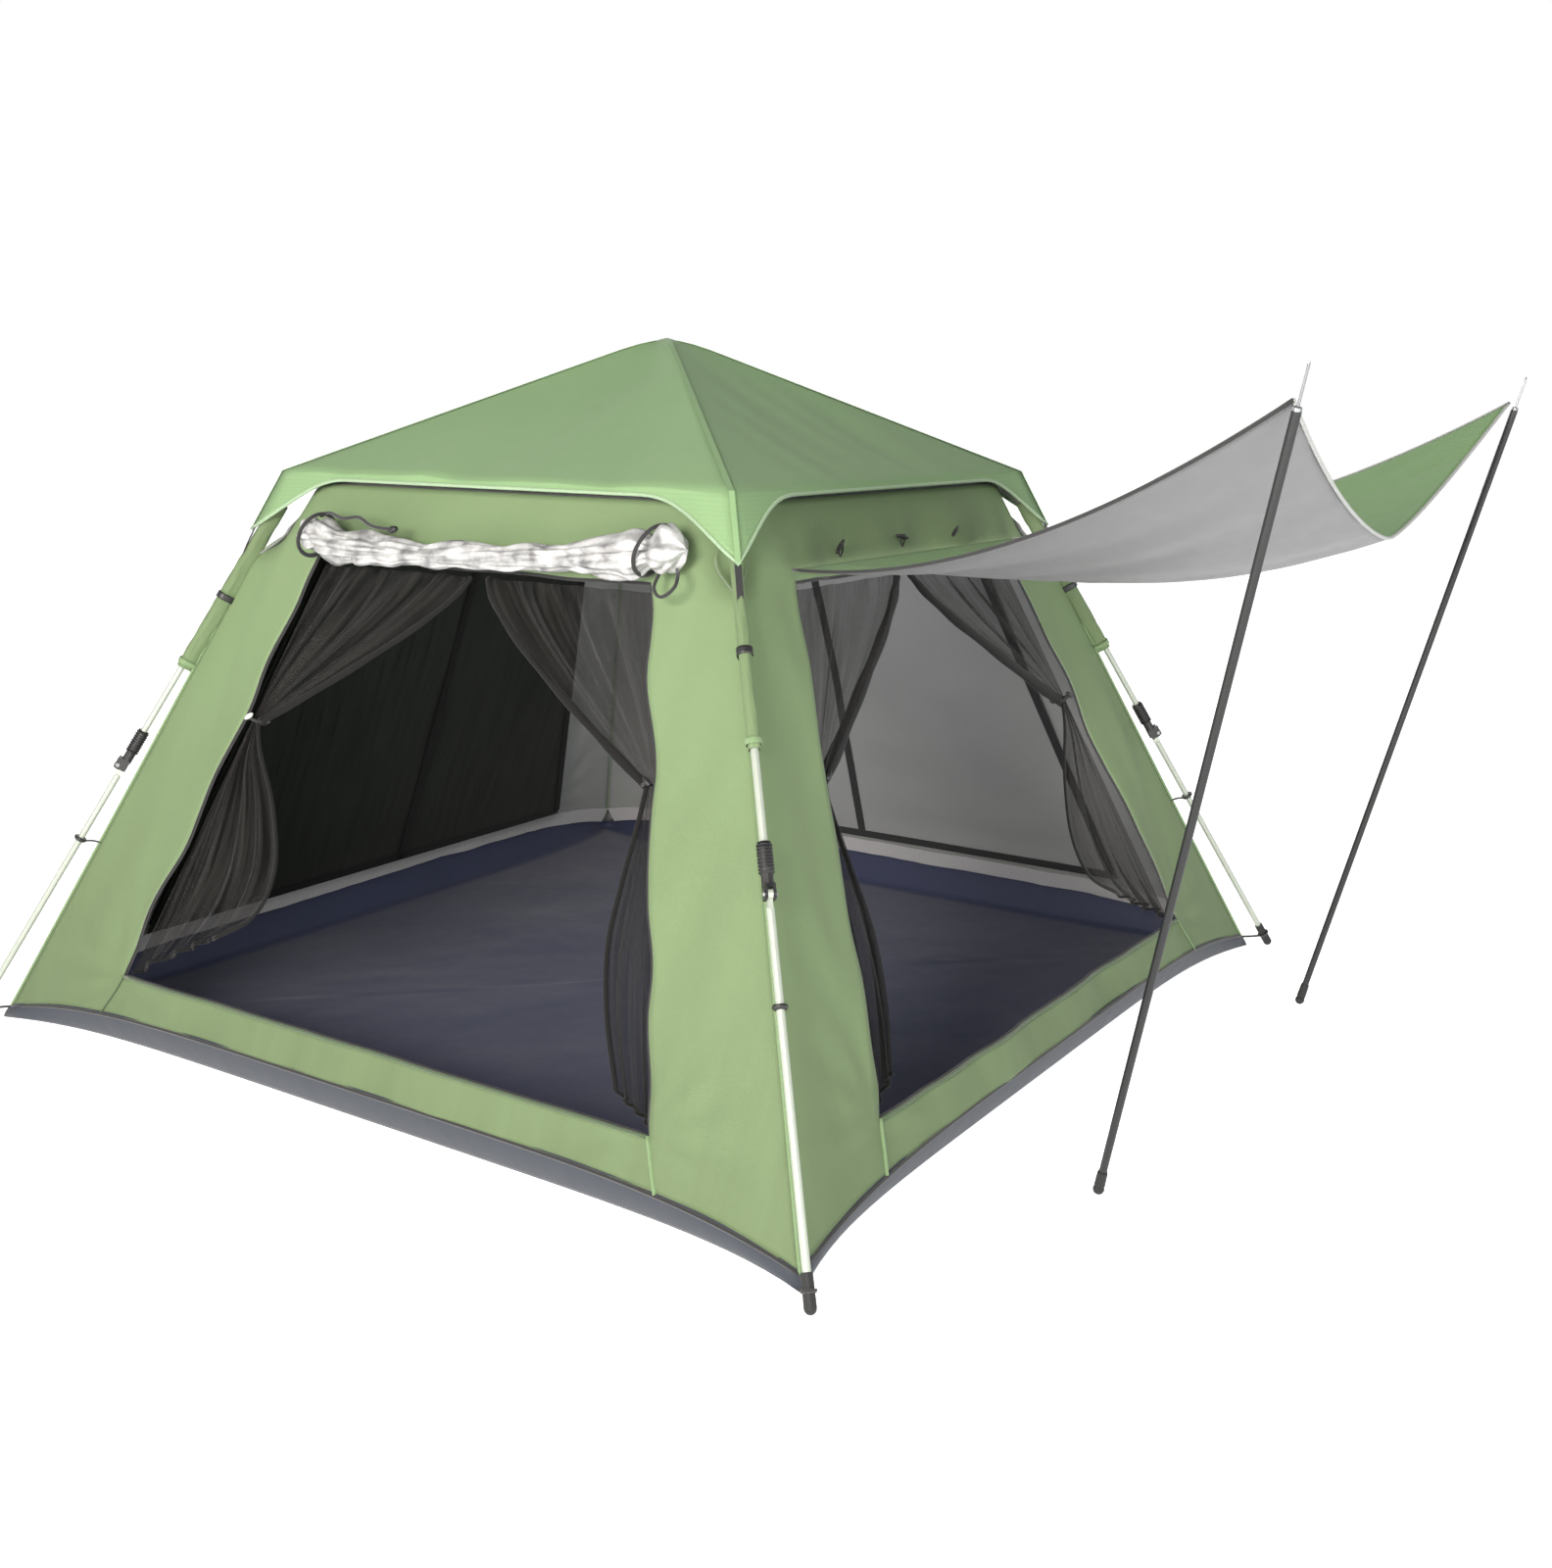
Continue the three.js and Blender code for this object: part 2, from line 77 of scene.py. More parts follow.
CORNERS = {"fl": (-1, -1), "fr": (1, -1), "br": (1, 1), "bl": (-1, 1)}
TURN = {"front": 0.0, "right": math.pi / 2, "back": math.pi, "left": -math.pi / 2}

# thickness of coated cloth, of mesh, and of zips and tapes
CLOTH, NET, TAPE = 0.0012, 0.0006, 0.0014

WALL_RISE = WALL_Z1 - WALL_Z0
WALL_RUN = WALL_HALF0 - WALL_HALF1
WALL_SLOPE = math.hypot(WALL_RISE, WALL_RUN)
NORMAL = (0.0, -WALL_RISE / WALL_SLOPE, WALL_RUN / WALL_SLOPE)

# --- camera ---

EYE = Vector((-3.499, -2.653, 1.547))
AZIMUTH, PITCH, ROLL = math.radians(-56.54), math.radians(12.84), math.radians(0.56)
FOCAL_SHARE = 1729.4 / 1600  # focal length over the picture's height
SENSOR = 24.0  # millimetres, its height

forward = Vector((-math.sin(AZIMUTH) * math.cos(PITCH), math.cos(AZIMUTH) * math.cos(PITCH), -math.sin(PITCH)))
level = forward.cross(Vector((0, 0, 1))).normalized()
upward = level.cross(forward)
right = math.cos(ROLL) * level + math.sin(ROLL) * upward
top = math.cos(ROLL) * upward - math.sin(ROLL) * level
camera = bpy.data.objects.new("camera", bpy.data.cameras.new("camera"))
camera.data.sensor_fit = "VERTICAL"
camera.data.sensor_height = SENSOR
camera.data.lens = FOCAL_SHARE * SENSOR
camera.data.clip_end = 60.0
camera.matrix_world = Matrix.Translation(EYE) @ Matrix((right, top, -forward)).transposed().to_4x4()
bpy.context.scene.collection.objects.link(camera)
bpy.context.scene.camera = camera

# --- materials ---


class Nodes:
    """Short ways to wire a material."""

    def __init__(self, name):
        self.material = bpy.data.materials.new(name)
        self.material.use_nodes = True
        self.tree = self.material.node_tree
        self.shader = self.tree.nodes["Principled BSDF"]
        self.out = self.tree.nodes["Material Output"]

    def add(self, kind, **settings):
        node = self.tree.nodes.new(kind)
        for key, value in settings.items():
            setattr(node, key, value)
        return node

    def link(self, a, b):
        self.tree.links.new(a, b)

    def feed(self, socket, value):
        """A number, a colour or another node's output into a socket."""
        if isinstance(value, (int, float)):
            socket.default_value = value
        elif isinstance(value, tuple):
            socket.default_value = (*value, 1.0)
        else:
            self.link(value, socket)

    def surface(self, values):
        for key, value in values.items():
            self.feed(self.shader.inputs[key], value)

    def coords(self, space="UV", scale=(1, 1, 1)):
        source = self.add("ShaderNodeTexCoord")
        mapping = self.add("ShaderNodeMapping")
        mapping.inputs["Scale"].default_value = scale
        self.link(source.outputs[space], mapping.inputs["Vector"])
        return mapping.outputs["Vector"]

    def noise(self, vector, scale, detail=3.0, rough=0.55):
        node = self.add("ShaderNodeTexNoise")
        node.inputs["Scale"].default_value = scale
        node.inputs["Detail"].default_value = detail
        node.inputs["Roughness"].default_value = rough
        self.link(vector, node.inputs["Vector"])
        return node.outputs["Fac"]

    def wave(self, vector, scale, axis="X"):
        node = self.add("ShaderNodeTexWave", wave_type="BANDS", bands_direction=axis)
        node.inputs["Scale"].default_value = scale
        self.link(vector, node.inputs["Vector"])
        return node.outputs["Fac"]

    def math(self, kind, a, b, clamp=False):
        node = self.add("ShaderNodeMath", operation=kind, use_clamp=clamp)
        self.feed(node.inputs[0], a)
        self.feed(node.inputs[1], b)
        return node.outputs[0]

    def ramp(self, value, stops):
        node = self.add("ShaderNodeValToRGB")
        ramp = node.color_ramp
        while len(ramp.elements) < len(stops):
            ramp.elements.new(0.5)
        for element, (at, color) in zip(ramp.elements, stops):
            element.position = at
            element.color = (*color, 1.0)
        self.link(value, node.inputs["Fac"])
        return node.outputs["Color"]

    def mix(self, share, a, b):
        node = self.add("ShaderNodeMix", data_type="RGBA", blend_type="MIX")
        for socket, value in zip((node.inputs[0], node.inputs[6], node.inputs[7]), (share, a, b)):
            self.feed(socket, value)
        return node.outputs[2]

    def bump(self, height, strength, distance):
        node = self.add("ShaderNodeBump")
        node.inputs["Strength"].default_value = strength
        node.inputs["Distance"].default_value = distance
        self.link(height, node.inputs["Height"])
        self.link(node.outputs["Normal"], self.shader.inputs["Normal"])
        return node.outputs["Normal"]


def srgb(r, g, b):
    def one(v):
        v /= 255.0
        return v / 12.92 if v <= 0.04045 else ((v + 0.055) / 1.055) ** 2.4

    return one(r), one(g), one(b)


def shade(color, share):
    return tuple(min(1.0, c * share) for c in color)


def cloth_material(
    name, color, weave=0.0011, ripstop=0.0, rough=0.66, sheen=0.06, vary=0.10, crease=0.35, through=0.0, darken_low=0.0
):
    """Coated tent cloth: plain weave, an optional ripstop grid, creases, fading, darker and slightly warmer in streaks
    towards the bottom.
    """
    n = Nodes(name)
    uv = n.coords("UV")
    broad, fine = n.noise(uv, 1.6, 4.0), n.noise(uv, 26.0, 4.0)
    tone = n.mix(broad, shade(color, 1 - vary), shade(color, 1 + vary))
    tone = n.mix(n.math("MULTIPLY", fine, 0.22), tone, shade(color, 0.86))
    threads = n.math("MULTIPLY", n.wave(uv, 0.5 / weave, "X"), n.wave(uv, 0.5 / weave, "Y"))
    height = n.math("MULTIPLY", threads, 0.10)
    if ripstop:
        lines = [n.math("POWER", n.wave(uv, 0.5 / ripstop, axis), 14.0) for axis in "XY"]
        grid = n.math("MAXIMUM", *lines)
        tone = n.mix(n.math("MULTIPLY", grid, 0.30), tone, shade(color, 0.72))
        height = n.math("ADD", height, n.math("MULTIPLY", grid, 0.35))
    # darker, slightly warmer tone in streaks where the UV height is low, which on the walls is towards the ground
    if darken_low:
        split = n.add("ShaderNodeSeparateXYZ")
        n.link(uv, split.inputs[0])
        low = n.math("SUBTRACT", 1.0, n.math("DIVIDE", split.outputs["Y"], 1.0, clamp=True), clamp=True)
        streaks = n.noise(n.coords("UV", (9.0, 0.7, 1.0)), 1.6, 3.0)
        low = n.math("MULTIPLY", low, n.math("ADD", streaks, 0.45))
        low_tone = shade((color[0] * 1.06, color[1], color[2]), 0.55)
        tone = n.mix(n.math("MULTIPLY", low, darken_low, clamp=True), tone, low_tone)
    soft = n.noise(uv, 7.0, 5.0, 0.6)
    height = n.math("ADD", height, n.math("MULTIPLY", soft, 6.0 * crease))
    roughness = n.math("ADD", n.math("MULTIPLY", fine, 0.16), rough - 0.08)
    n.surface({"Base Color": tone, "Roughness": roughness, "Sheen Weight": sheen})
    n.surface({"Sheen Roughness": 0.5, "Specular IOR Level": 0.25})
    normal = n.bump(height, 0.35, 0.0016)
    if through:
        glow, both = n.add("ShaderNodeBsdfTranslucent"), n.add("ShaderNodeMixShader")
        n.link(tone, glow.inputs["Color"])
        n.link(normal, glow.inputs["Normal"])
        both.inputs["Fac"].default_value = through
        n.link(n.shader.outputs[0], both.inputs[1])
        n.link(glow.outputs[0], both.inputs[2])
        n.link(both.outputs[0], n.out.inputs["Surface"])
    return n.material


def mesh_material(name, color, cover, uneven=1.0, pitch=0.0018):
    """Mosquito mesh: fine threads with holes between them, seen through, thicker where it gathers, with painted shade
    and painted highlight in streaks along its folds.
    """
    n = Nodes(name)
    uv = n.coords("UV")
    across, along = (n.math("POWER", n.wave(uv, 0.5 / pitch, axis), 3.0) for axis in "XY")
    threads = n.math("MAXIMUM", across, along)
    folds = n.noise(n.coords("UV", (9.0, 0.8, 1.0)), 5.0, 1.5, 0.5)
    folds = n.math("MULTIPLY", n.math("SUBTRACT", folds, 0.33, clamp=True), 3.0, clamp=True)
    # painted shade and painted highlight: the tone runs from a darker to a lighter copy of the colour along the fold
    # streaks, as strongly as uneven says
    tone = n.mix(folds, shade(color, 1 - 0.75 * uneven), shade(color, 1 + 0.9 * uneven))
    alpha = n.math("ADD", n.math("MULTIPLY", threads, 0.03), cover - 0.03, clamp=True)
    # the gathered mesh is also denser along the same streaks
    alpha = n.math("ADD", alpha, n.math("MULTIPLY", folds, 0.16 * uneven), clamp=True)
    n.surface({"Base Color": tone, "Alpha": alpha, "Roughness": 0.8})
    n.surface({"Specular IOR Level": 0.1, "Sheen Weight": 0.10})
    return n.material


def webbing_material(name, color, rib=0.0016):
    """Woven tape or binding, with ribs across it and fuzzy variation."""
    n = Nodes(name)
    at = n.coords("Object")
    grain, ribs = n.noise(at, 240.0, 3.0), n.wave(at, 0.5 / rib, "DIAGONAL")
    tone = n.mix(grain, shade(color, 0.7), shade(color, 1.35))
    tone = n.mix(n.math("MULTIPLY", ribs, 0.25), tone, shade(color, 0.55))
    n.surface({"Base Color": tone, "Roughness": 0.75, "Sheen Weight": 0.2})
    n.bump(n.math("ADD", ribs, grain), 0.4, 0.0004)
    return n.material


def plastic_material(name, color, rough=0.42, texture=420.0):
    """Moulded nylon or rubber: fine spark-eroded grain, scuffs on broad areas."""
    n = Nodes(name)
    at = n.coords("Object")
    grain, scuff = n.noise(at, texture, 2.0), n.noise(at, 38.0, 5.0, 0.7)
    worn = n.math("MULTIPLY", n.math("SUBTRACT", scuff, 0.52, clamp=True), 1.2, clamp=True)
    roughness = n.math("ADD", n.math("MULTIPLY", scuff, 0.25), rough - 0.1)
    n.surface({"Base Color": n.mix(worn, color, shade(color, 3.2)), "Roughness": roughness})
    n.bump(grain, 0.3, 0.0003)
    return n.material


def metal_material(name, color, rough, metallic):
    """Drawn or painted tube: long faint streaks, small dull marks."""
    n = Nodes(name)
    streaks = n.noise(n.coords("Object", (1.0, 1.0, 0.12)), 60.0, 4.0, 0.65)
    marks = n.noise(n.coords("Object"), 55.0, 5.0, 0.7)
    dull = n.math("MULTIPLY", n.math("SUBTRACT", marks, 0.5, clamp=True), 1.5, clamp=True)
    tone = n.mix(streaks, shade(color, 0.9), shade(color, 1.08))
    tone = n.mix(n.math("MULTIPLY", dull, 0.25), tone, shade(color, 0.62))
    roughness = n.math("ADD", n.math("MULTIPLY", streaks, 0.18), rough - 0.06)
    n.surface({"Base Color": tone, "Metallic": metallic, "Roughness": roughness})
    n.bump(n.math("ADD", streaks, dull), 0.12, 0.0003)
    return n.material


def silver_material(name):
    """Silver-coated lining, crumpled: a painted bright broken sheen with painted shade in its creases, over a crumpled
    bump.
    """
    n = Nodes(name)
    crumple_and_sheen = n.noise(n.coords("Object"), 22.0, 4.0, 0.55)
    fold_and_shade = n.noise(n.coords("Object", (1.0, 0.28, 1.0)), 18.0, 3.0)
    # painted highlight and painted shade: the crumple noise takes the colour from dark grey to near white
    tone = n.ramp(crumple_and_sheen, [(0.30, srgb(112, 112, 114)), (0.50, srgb(178, 178, 178)), (0.70, srgb(214, 214, 214))])
    # painted shade along the long folds
    tone = n.mix(n.math("MULTIPLY", fold_and_shade, 0.25), tone, srgb(120, 120, 122))
    n.surface({"Base Color": tone, "Metallic": 0.35, "Roughness": 0.42})
    n.bump(n.math("ADD", crumple_and_sheen, fold_and_shade), 0.6, 0.004)
    return n.material


GREEN = cloth_material("wall_cloth", srgb(122, 143, 104), ripstop=0.006, through=0.22, darken_low=0.6)
ROOF_GREEN = cloth_material("fly_cloth", srgb(130, 160, 116), ripstop=0.006, through=0.15)
AWNING_GREEN = cloth_material("awning_cloth", srgb(116, 151, 99), ripstop=0.006)
LINING = cloth_material("grey_coating", srgb(166, 166, 168), rough=0.5, sheen=0.1, vary=0.06, through=0.35)
AWNING_GREY = cloth_material("awning_coating", srgb(104, 104, 107), rough=0.48, sheen=0.1, vary=0.05)
NAVY = cloth_material("floor_cloth", srgb(43, 47, 70), weave=0.0024, rough=0.6, sheen=0.12, vary=0.16, crease=0.6)
BAND_GREY = cloth_material("tub_edge", srgb(52, 56, 64), weave=0.0024, rough=0.6, vary=0.10)
STRIP_GREY = webbing_material("foot_strip", srgb(166, 164, 166), rib=0.004)
SILVER = silver_material("silver_lining")
MESH = mesh_material("black_mesh", srgb(33, 32, 31), cover=0.30)
BLACK_MESH_BAND = mesh_material("gathered_mesh", srgb(20, 20, 20), cover=1.0, uneven=0.4)
MESH_DARK = mesh_material("door_mesh", srgb(19, 23, 18), cover=0.96, uneven=0.25)
ZIP_BLACK = mesh_material("door_zip", srgb(2, 2, 2), cover=1.0, uneven=0.2)
BLACK_TAPE = webbing_material("black_tape", srgb(26, 26, 27))
GREEN_TAPE = webbing_material("green_tape", srgb(108, 132, 92))
DARK_GREEN_TAPE = webbing_material("dark_green_tape", srgb(62, 80, 52))
PALE_TAPE = webbing_material("pale_binding", srgb(140, 164, 132))
GREY_TAPE = webbing_material("grey_tape", srgb(150, 152, 150))
NYLON = plastic_material("black_nylon", srgb(28, 28, 29))
RUBBER = plastic_material("rubber", srgb(18, 18, 19), rough=0.65, texture=300.0)
ALLOY = metal_material("pale_alloy", srgb(166, 172, 162), rough=0.38, metallic=0.35)
POLE_PAINT = metal_material("pole_paint", srgb(24, 26, 27), rough=0.45, metallic=0.1)
STEEL = metal_material("plain_steel", srgb(128, 130, 132), rough=0.35, metallic=0.7)
TOGGLE_PALE = plastic_material("pale_toggle", srgb(196, 200, 190), rough=0.4)

# --- mesh building ---


def new_object(name, verts, faces, uvs=None, materials=(), smooth=True):
    data = bpy.data.meshes.new(name)
    data.from_pydata([tuple(map(float, v)) for v in verts], [], faces)
    data.update()
    if uvs is not None:
        layer = data.uv_layers.new(name="cloth")
        index = np.empty(len(data.loops), dtype=np.int32)
        data.loops.foreach_get("vertex_index", index)
        layer.data.foreach_set("uv", np.asarray(uvs, dtype=np.float32)[index].ravel())
    for material in materials:
        data.materials.append(material)
    if smooth:
        data.polygons.foreach_set("use_smooth", [True] * len(data.polygons))
    obj = bpy.data.objects.new(name, data)
    bpy.context.scene.collection.objects.link(obj)
    return obj


def grid_object(name, points, uvs, materials, keep=None, wrap=False):
    """points and uvs are (rows, cols, n) arrays; keep(r, c) says which cells exist."""
    rows, cols = points.shape[:2]
    faces = []
    for r in range(rows - 1):
        for c in range(cols if wrap else cols - 1):
            if keep is not None and not keep(r, c):
                continue
            d = (c + 1) % cols
            faces.append((r * cols + c, r * cols + d, (r + 1) * cols + d, (r + 1) * cols + c))
    flat = points.reshape(-1, 3)
    used = sorted({i for f in faces for i in f})
    where = {old: new for new, old in enumerate(used)}
    faces = [tuple(where[i] for i in f) for f in faces]
    return new_object(name, flat[used], faces, uvs.reshape(-1, 2)[used], materials)


def solidify(obj, thickness, inner=0):
    """Gives cloth its thickness; inner is the material index shift of the second layer."""
    mod = obj.modifiers.new("thickness", "SOLIDIFY")
    mod.thickness = thickness
    mod.offset = 0.0
    mod.use_even_offset = False
    mod.material_offset = inner
    mod.material_offset_rim = inner
    apply_modifiers(obj)
    return obj


def apply_modifiers(obj):
    depsgraph = bpy.context.evaluated_depsgraph_get()
    made = bpy.data.meshes.new_from_object(obj.evaluated_get(depsgraph))
    obj.modifiers.clear()
    old = obj.data
    obj.data = made
    bpy.data.meshes.remove(old)
    made.polygons.foreach_set("use_smooth", [True] * len(made.polygons))


def tube(name, path, radius, material, sides=6, closed=False, flat=1.0, taper=None, up=None):
    """A round or flattened strip of binding, cord or webbing along a path."""
    pts = [Vector(p) for p in path]
    n = len(pts)
    rings = []
    up = Vector(up) if up is not None else None
    for i, p in enumerate(pts):
        if closed:
            along = (pts[(i + 1) % n] - pts[i - 1]).normalized()
        else:
            along = (pts[min(i + 1, n - 1)] - pts[max(i - 1, 0)]).normalized()
        if up is None:
            up = Vector((0, 0, 1)) if abs(along.z) < 0.9 else Vector((1, 0, 0))
        up = (up - along * up.dot(along)).normalized()
        side = along.cross(up)
        share = taper(i / (n - 1)) if taper else 1.0
        ring = []
        for k in range(sides):
            a = 2 * math.pi * k / sides
            ring.append(p + (side * math.cos(a) + up * math.sin(a) * flat) * radius * share)
        rings.append(ring)
    verts = [v for ring in rings for v in ring]
    faces = []
    for i in range(n if closed else n - 1):
        j = (i + 1) % n
        for k in range(sides):
            m = (k + 1) % sides
            faces.append((i * sides + k, i * sides + m, j * sides + m, j * sides + k))
    if not closed:
        faces.append(tuple(reversed(range(sides))))
        faces.append(tuple((n - 1) * sides + k for k in range(sides)))
    return new_object(name, verts, faces, None, [material])


def ribbon(name, path, out, width, thickness, material):
    """Flat tape along a path; out is the direction its face looks."""
    pts = [Vector(p) for p in path]
    n = len(pts)
    out = Vector(out).normalized()
    verts, faces = [], []
    for i, p in enumerate(pts):
        along = (pts[min(i + 1, n - 1)] - pts[max(i - 1, 0)]).normalized()
        side = along.cross(out).normalized()
        for a, b in ((-1, -1), (1, -1), (1, 1), (-1, 1)):
            verts.append(p + side * a * width / 2 + out * b * thickness / 2)
    for i in range(n - 1):
        for k in range(4):
            m = (k + 1) % 4
            faces.append((i * 4 + k, i * 4 + m, i * 4 + 4 + m, i * 4 + 4 + k))
    faces.append((3, 2, 1, 0))
    faces.append(tuple((n - 1) * 4 + k for k in range(4)))
    return new_object(name, verts, faces, None, [material], smooth=False)


def merge(name, objs):
    """One object made of several, in order."""
    verts, faces, mats, mat_of, smooth = [], [], [], [], []
    for obj in objs:
        base = len(verts)
        slots = []
        for m in obj.data.materials:
            if m not in mats:
                mats.append(m)
            slots.append(mats.index(m))
        verts.extend(obj.matrix_world @ v.co for v in obj.data.vertices)
        for poly in obj.data.polygons:
            faces.append(tuple(base + i for i in poly.vertices))
            mat_of.append(slots[poly.material_index] if slots else 0)
            smooth.append(poly.use_smooth)
    made = new_object(name, verts, faces, None, mats)
    made.data.polygons.foreach_set("material_index", mat_of)
    made.data.polygons.foreach_set("use_smooth", smooth)
    for obj in objs:
        old = obj.data
        bpy.data.objects.remove(obj)
        bpy.data.meshes.remove(old)
    return made


def xyz(x, y, z):
    """Coordinates, or whole arrays of them, as points."""
    return np.stack(np.broadcast_arrays(x, y, z), axis=-1)


def turned(points, angle):
    """Points turned about the vertical through the origin."""
    c, s = math.cos(angle), math.sin(angle)
    x, y = points[..., 0], points[..., 1]
    return xyz(c * x - s * y, s * x + c * y, points[..., 2])


def circle(count):
    return np.linspace(0, 2 * np.pi, count, endpoint=False)


def spindle(least):
    """Taper of a toggle or stop: full in the middle, least at its ends."""
    return lambda s: least + (1 - least) * math.sin(math.pi * s)


def ripple(points, scale, seed=0.0):
    """Smooth noise at many points, about -1 to 1."""
    flat = np.asarray(points).reshape(-1, 3)
    out = np.array([noise.noise(Vector(p * scale) + Vector((seed, seed * 1.7, -seed))) for p in flat])
    return out.reshape(np.asarray(points).shape[:-1]) * 1.6


def smooth01(a, b, x):
    t = np.clip((x - a) / (b - a), 0, 1)
    return t * t * (3 - 2 * t)


# --- placement ---


def half_at(z):
    return WALL_HALF0 - WALL_RUN * (z - WALL_Z0) / WALL_RISE


def wall_point(side, x, z, out=0.0):
    """A point of a wall: x along it seen from outside, height z on its plane, out from it."""
    x, z, out = np.broadcast_arrays(*(np.asarray(v, dtype=float) for v in (x, z, out)))
    return turned(xyz(x, out * NORMAL[1] - half_at(z), z + out * NORMAL[2]), TURN[side])


def wall_line(side, points):
    """The points (x, z, out) of a wall."""
    return wall_point(side, *np.array(points, dtype=float).T)


def wall_out(side):
    return turned(np.array(NORMAL), TURN[side])


def leg_point(tag, share, off=0.0):
    """A point on a leg's axis; off moves it outwards, square to the leg."""
    dr, dz = FOOT[0] - SHOULDER[0], FOOT[1] - SHOULDER[1]
    length = math.hypot(dr, dz)
    r = SHOULDER[0] + dr * share - dz / length * off
    z = SHOULDER[1] + dz * share + dr / length * off
    ux, uy = CORNERS[tag]
    return Vector((ux * r / math.sqrt(2), uy * r / math.sqrt(2), z))


def fold_down(obj):
    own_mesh(obj)


def ride(obj, body):
    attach(obj, body)
    return obj


def shell_piece(obj):
    ride(obj, "shell")
    fold_down(obj)
    return obj


# --- walls ---

DOOR_AT = 0.62  # lateral parameter of the door's edge
SILL_ROWS, DOOR_ROWS, HEAD_ROWS = 8, 56, 12
SIDE_COLS, DOOR_COLS = 19, 60
OPEN_SIDES, CLOSED_SIDES = ("front", "left"), ("right", "back")
WALL_SEEDS = {"front": 1.0, "right": 5.0, "back": 11.0, "left": 17.0}


def door_half(z):
    return DOOR_HALF0 + (DOOR_HALF1 - DOOR_HALF0) * (z - DOOR_Z0) / (DOOR_Z1 - DOOR_Z0)


def hem_z(share):
    return HEM_CORNER + HEM_RISE * (1 - np.abs(share) ** 5)


def top_z(x):
    """The wall's top edge, which keeps just under the fly's loose edge."""
    corner = np.clip((np.abs(x) / 0.70 - 0.66) / 0.34, 0, 1) ** 2.2
    drop = FLY_HEM + (FLY_TAB - FLY_HEM) * corner
    return np.minimum(WALL_Z1, FLY_Z - 0.925 * drop - 0.002)


def wall_x(a, z):
    """Lateral parameter -1..1 to metres along the wall at height z."""
    a = np.asarray(a, dtype=float)
    inner = a / DOOR_AT * door_half(z)
    share = (np.abs(a) - DOOR_AT) / (1 - DOOR_AT)
    outer = np.sign(a) * (door_half(z) + share * (half_at(z) - door_half(z)))
    return np.where(np.abs(a) <= DOOR_AT, inner, outer)


def wall_bulge(x, z, seed):
    """How far the cloth stands off its plane: tension folds, slack jambs, a breath of air."""
    edge = 1 - np.abs(x) / half_at(z)
    free = smooth01(0.0, 0.16, edge) * smooth01(0.0, 0.12, (z - 0.03) / WALL_Z1)
    free = free * smooth01(0.0, 0.10, (WALL_Z1 - z) / WALL_Z1)
    p = xyz(x, z * 0.35, 0.0)
    long_folds = ripple(p, 5.5, seed) * 0.0085 + ripple(p, 13.0, seed + 3) * 0.0034
    wide = ripple(xyz(x * 0.6, z, 0.0), 2.4, seed + 9) * 0.009
    # pulls that run in from the corners and the door's lower corners
    d = np.hypot(np.abs(x) - 0.80, z - 0.17)
    angle = np.arctan2(z - 0.17, np.abs(x) - 0.80)
    pulls = 0.0030 * np.sin(angle * 11 + seed) * np.exp(-((d / 0.30) ** 2)) * smooth01(0.0, 0.08, d)
    return free * (long_folds + wide + pulls)


def wall_sheet(side, seed):
    """One wall: hem to sill, sill to head beside the doorway, head to the top, with two layers' colours."""
    cols = np.concatenate(
        [
            np.linspace(-1, -DOOR_AT, SIDE_COLS + 1),
            np.linspace(-DOOR_AT, DOOR_AT, DOOR_COLS + 1)[1:-1],
            np.linspace(DOOR_AT, 1, SIDE_COLS + 1),
        ]
    )
    hem, edge = hem_z(cols), np.full_like(cols, WALL_Z1)
    for _ in range(6):
        edge = 0.5 * edge + 0.5 * top_z(wall_x(cols, edge))
    zs = np.array(
        [hem + (DOOR_Z0 - hem) * t for t in np.linspace(0, 1, SILL_ROWS + 1)]
        + [np.full_like(cols, DOOR_Z0 + (DOOR_Z1 - DOOR_Z0) * t) for t in np.linspace(0, 1, DOOR_ROWS + 1)[1:]]
        + [DOOR_Z1 + (edge - DOOR_Z1) * t for t in np.linspace(0, 1, HEAD_ROWS + 1)[1:]]
    )
    xs = wall_x(np.broadcast_to(cols, zs.shape), zs)
    out = wall_bulge(xs, zs, seed)
    # at the top the corners run inside the shoulders of the frame
    reach = half_at(zs) - np.abs(xs)
    out = out - 0.050 * smooth01(0.10, 0.01, reach) * smooth01(1.14, 1.24, zs)
    if side in OPEN_SIDES:
        xs = xs + np.sign(xs) * jamb_waver(xs, zs, seed)
    uvs = np.stack([xs, zs * WALL_SLOPE / WALL_RISE], axis=-1)

    def keep(r, c):
        return not (SILL_ROWS <= r < SILL_ROWS + DOOR_ROWS and SIDE_COLS <= c < SIDE_COLS + DOOR_COLS)

    obj = grid_object(f"wall_cloth_{side}", wall_point(side, xs, zs, out), uvs, [GREEN, LINING], keep)
    return shell_piece(solidify(obj, CLOTH, inner=1))


def jamb_waver(x, z, seed):
    """The open doorways' side hems waver a little."""
    near = np.exp(-((np.abs(x) - door_half(z)) / 0.03) ** 2)
    between = smooth01(DOOR_Z0 - 0.02, DOOR_Z0 + 0.1, z) * smooth01(DOOR_Z1 + 0.02, DOOR_Z1 - 0.1, z)
    return ripple(xyz(np.sign(x) * 3.0, z, 0.0), 6.0, seed + 21) * 0.014 * near * between


def on_wall(side, pts, lift, wavers=True):
    """Points that follow the wall cloth's own folds, lifted off it, with an open doorway's waver."""
    x, z = np.array(pts, dtype=float).T
    out = wall_bulge(x, z, WALL_SEEDS[side])
    if wavers and side in OPEN_SIDES:
        x = x + np.sign(x) * jamb_waver(x, z, WALL_SEEDS[side])
    return wall_point(side, x, z, out + lift)


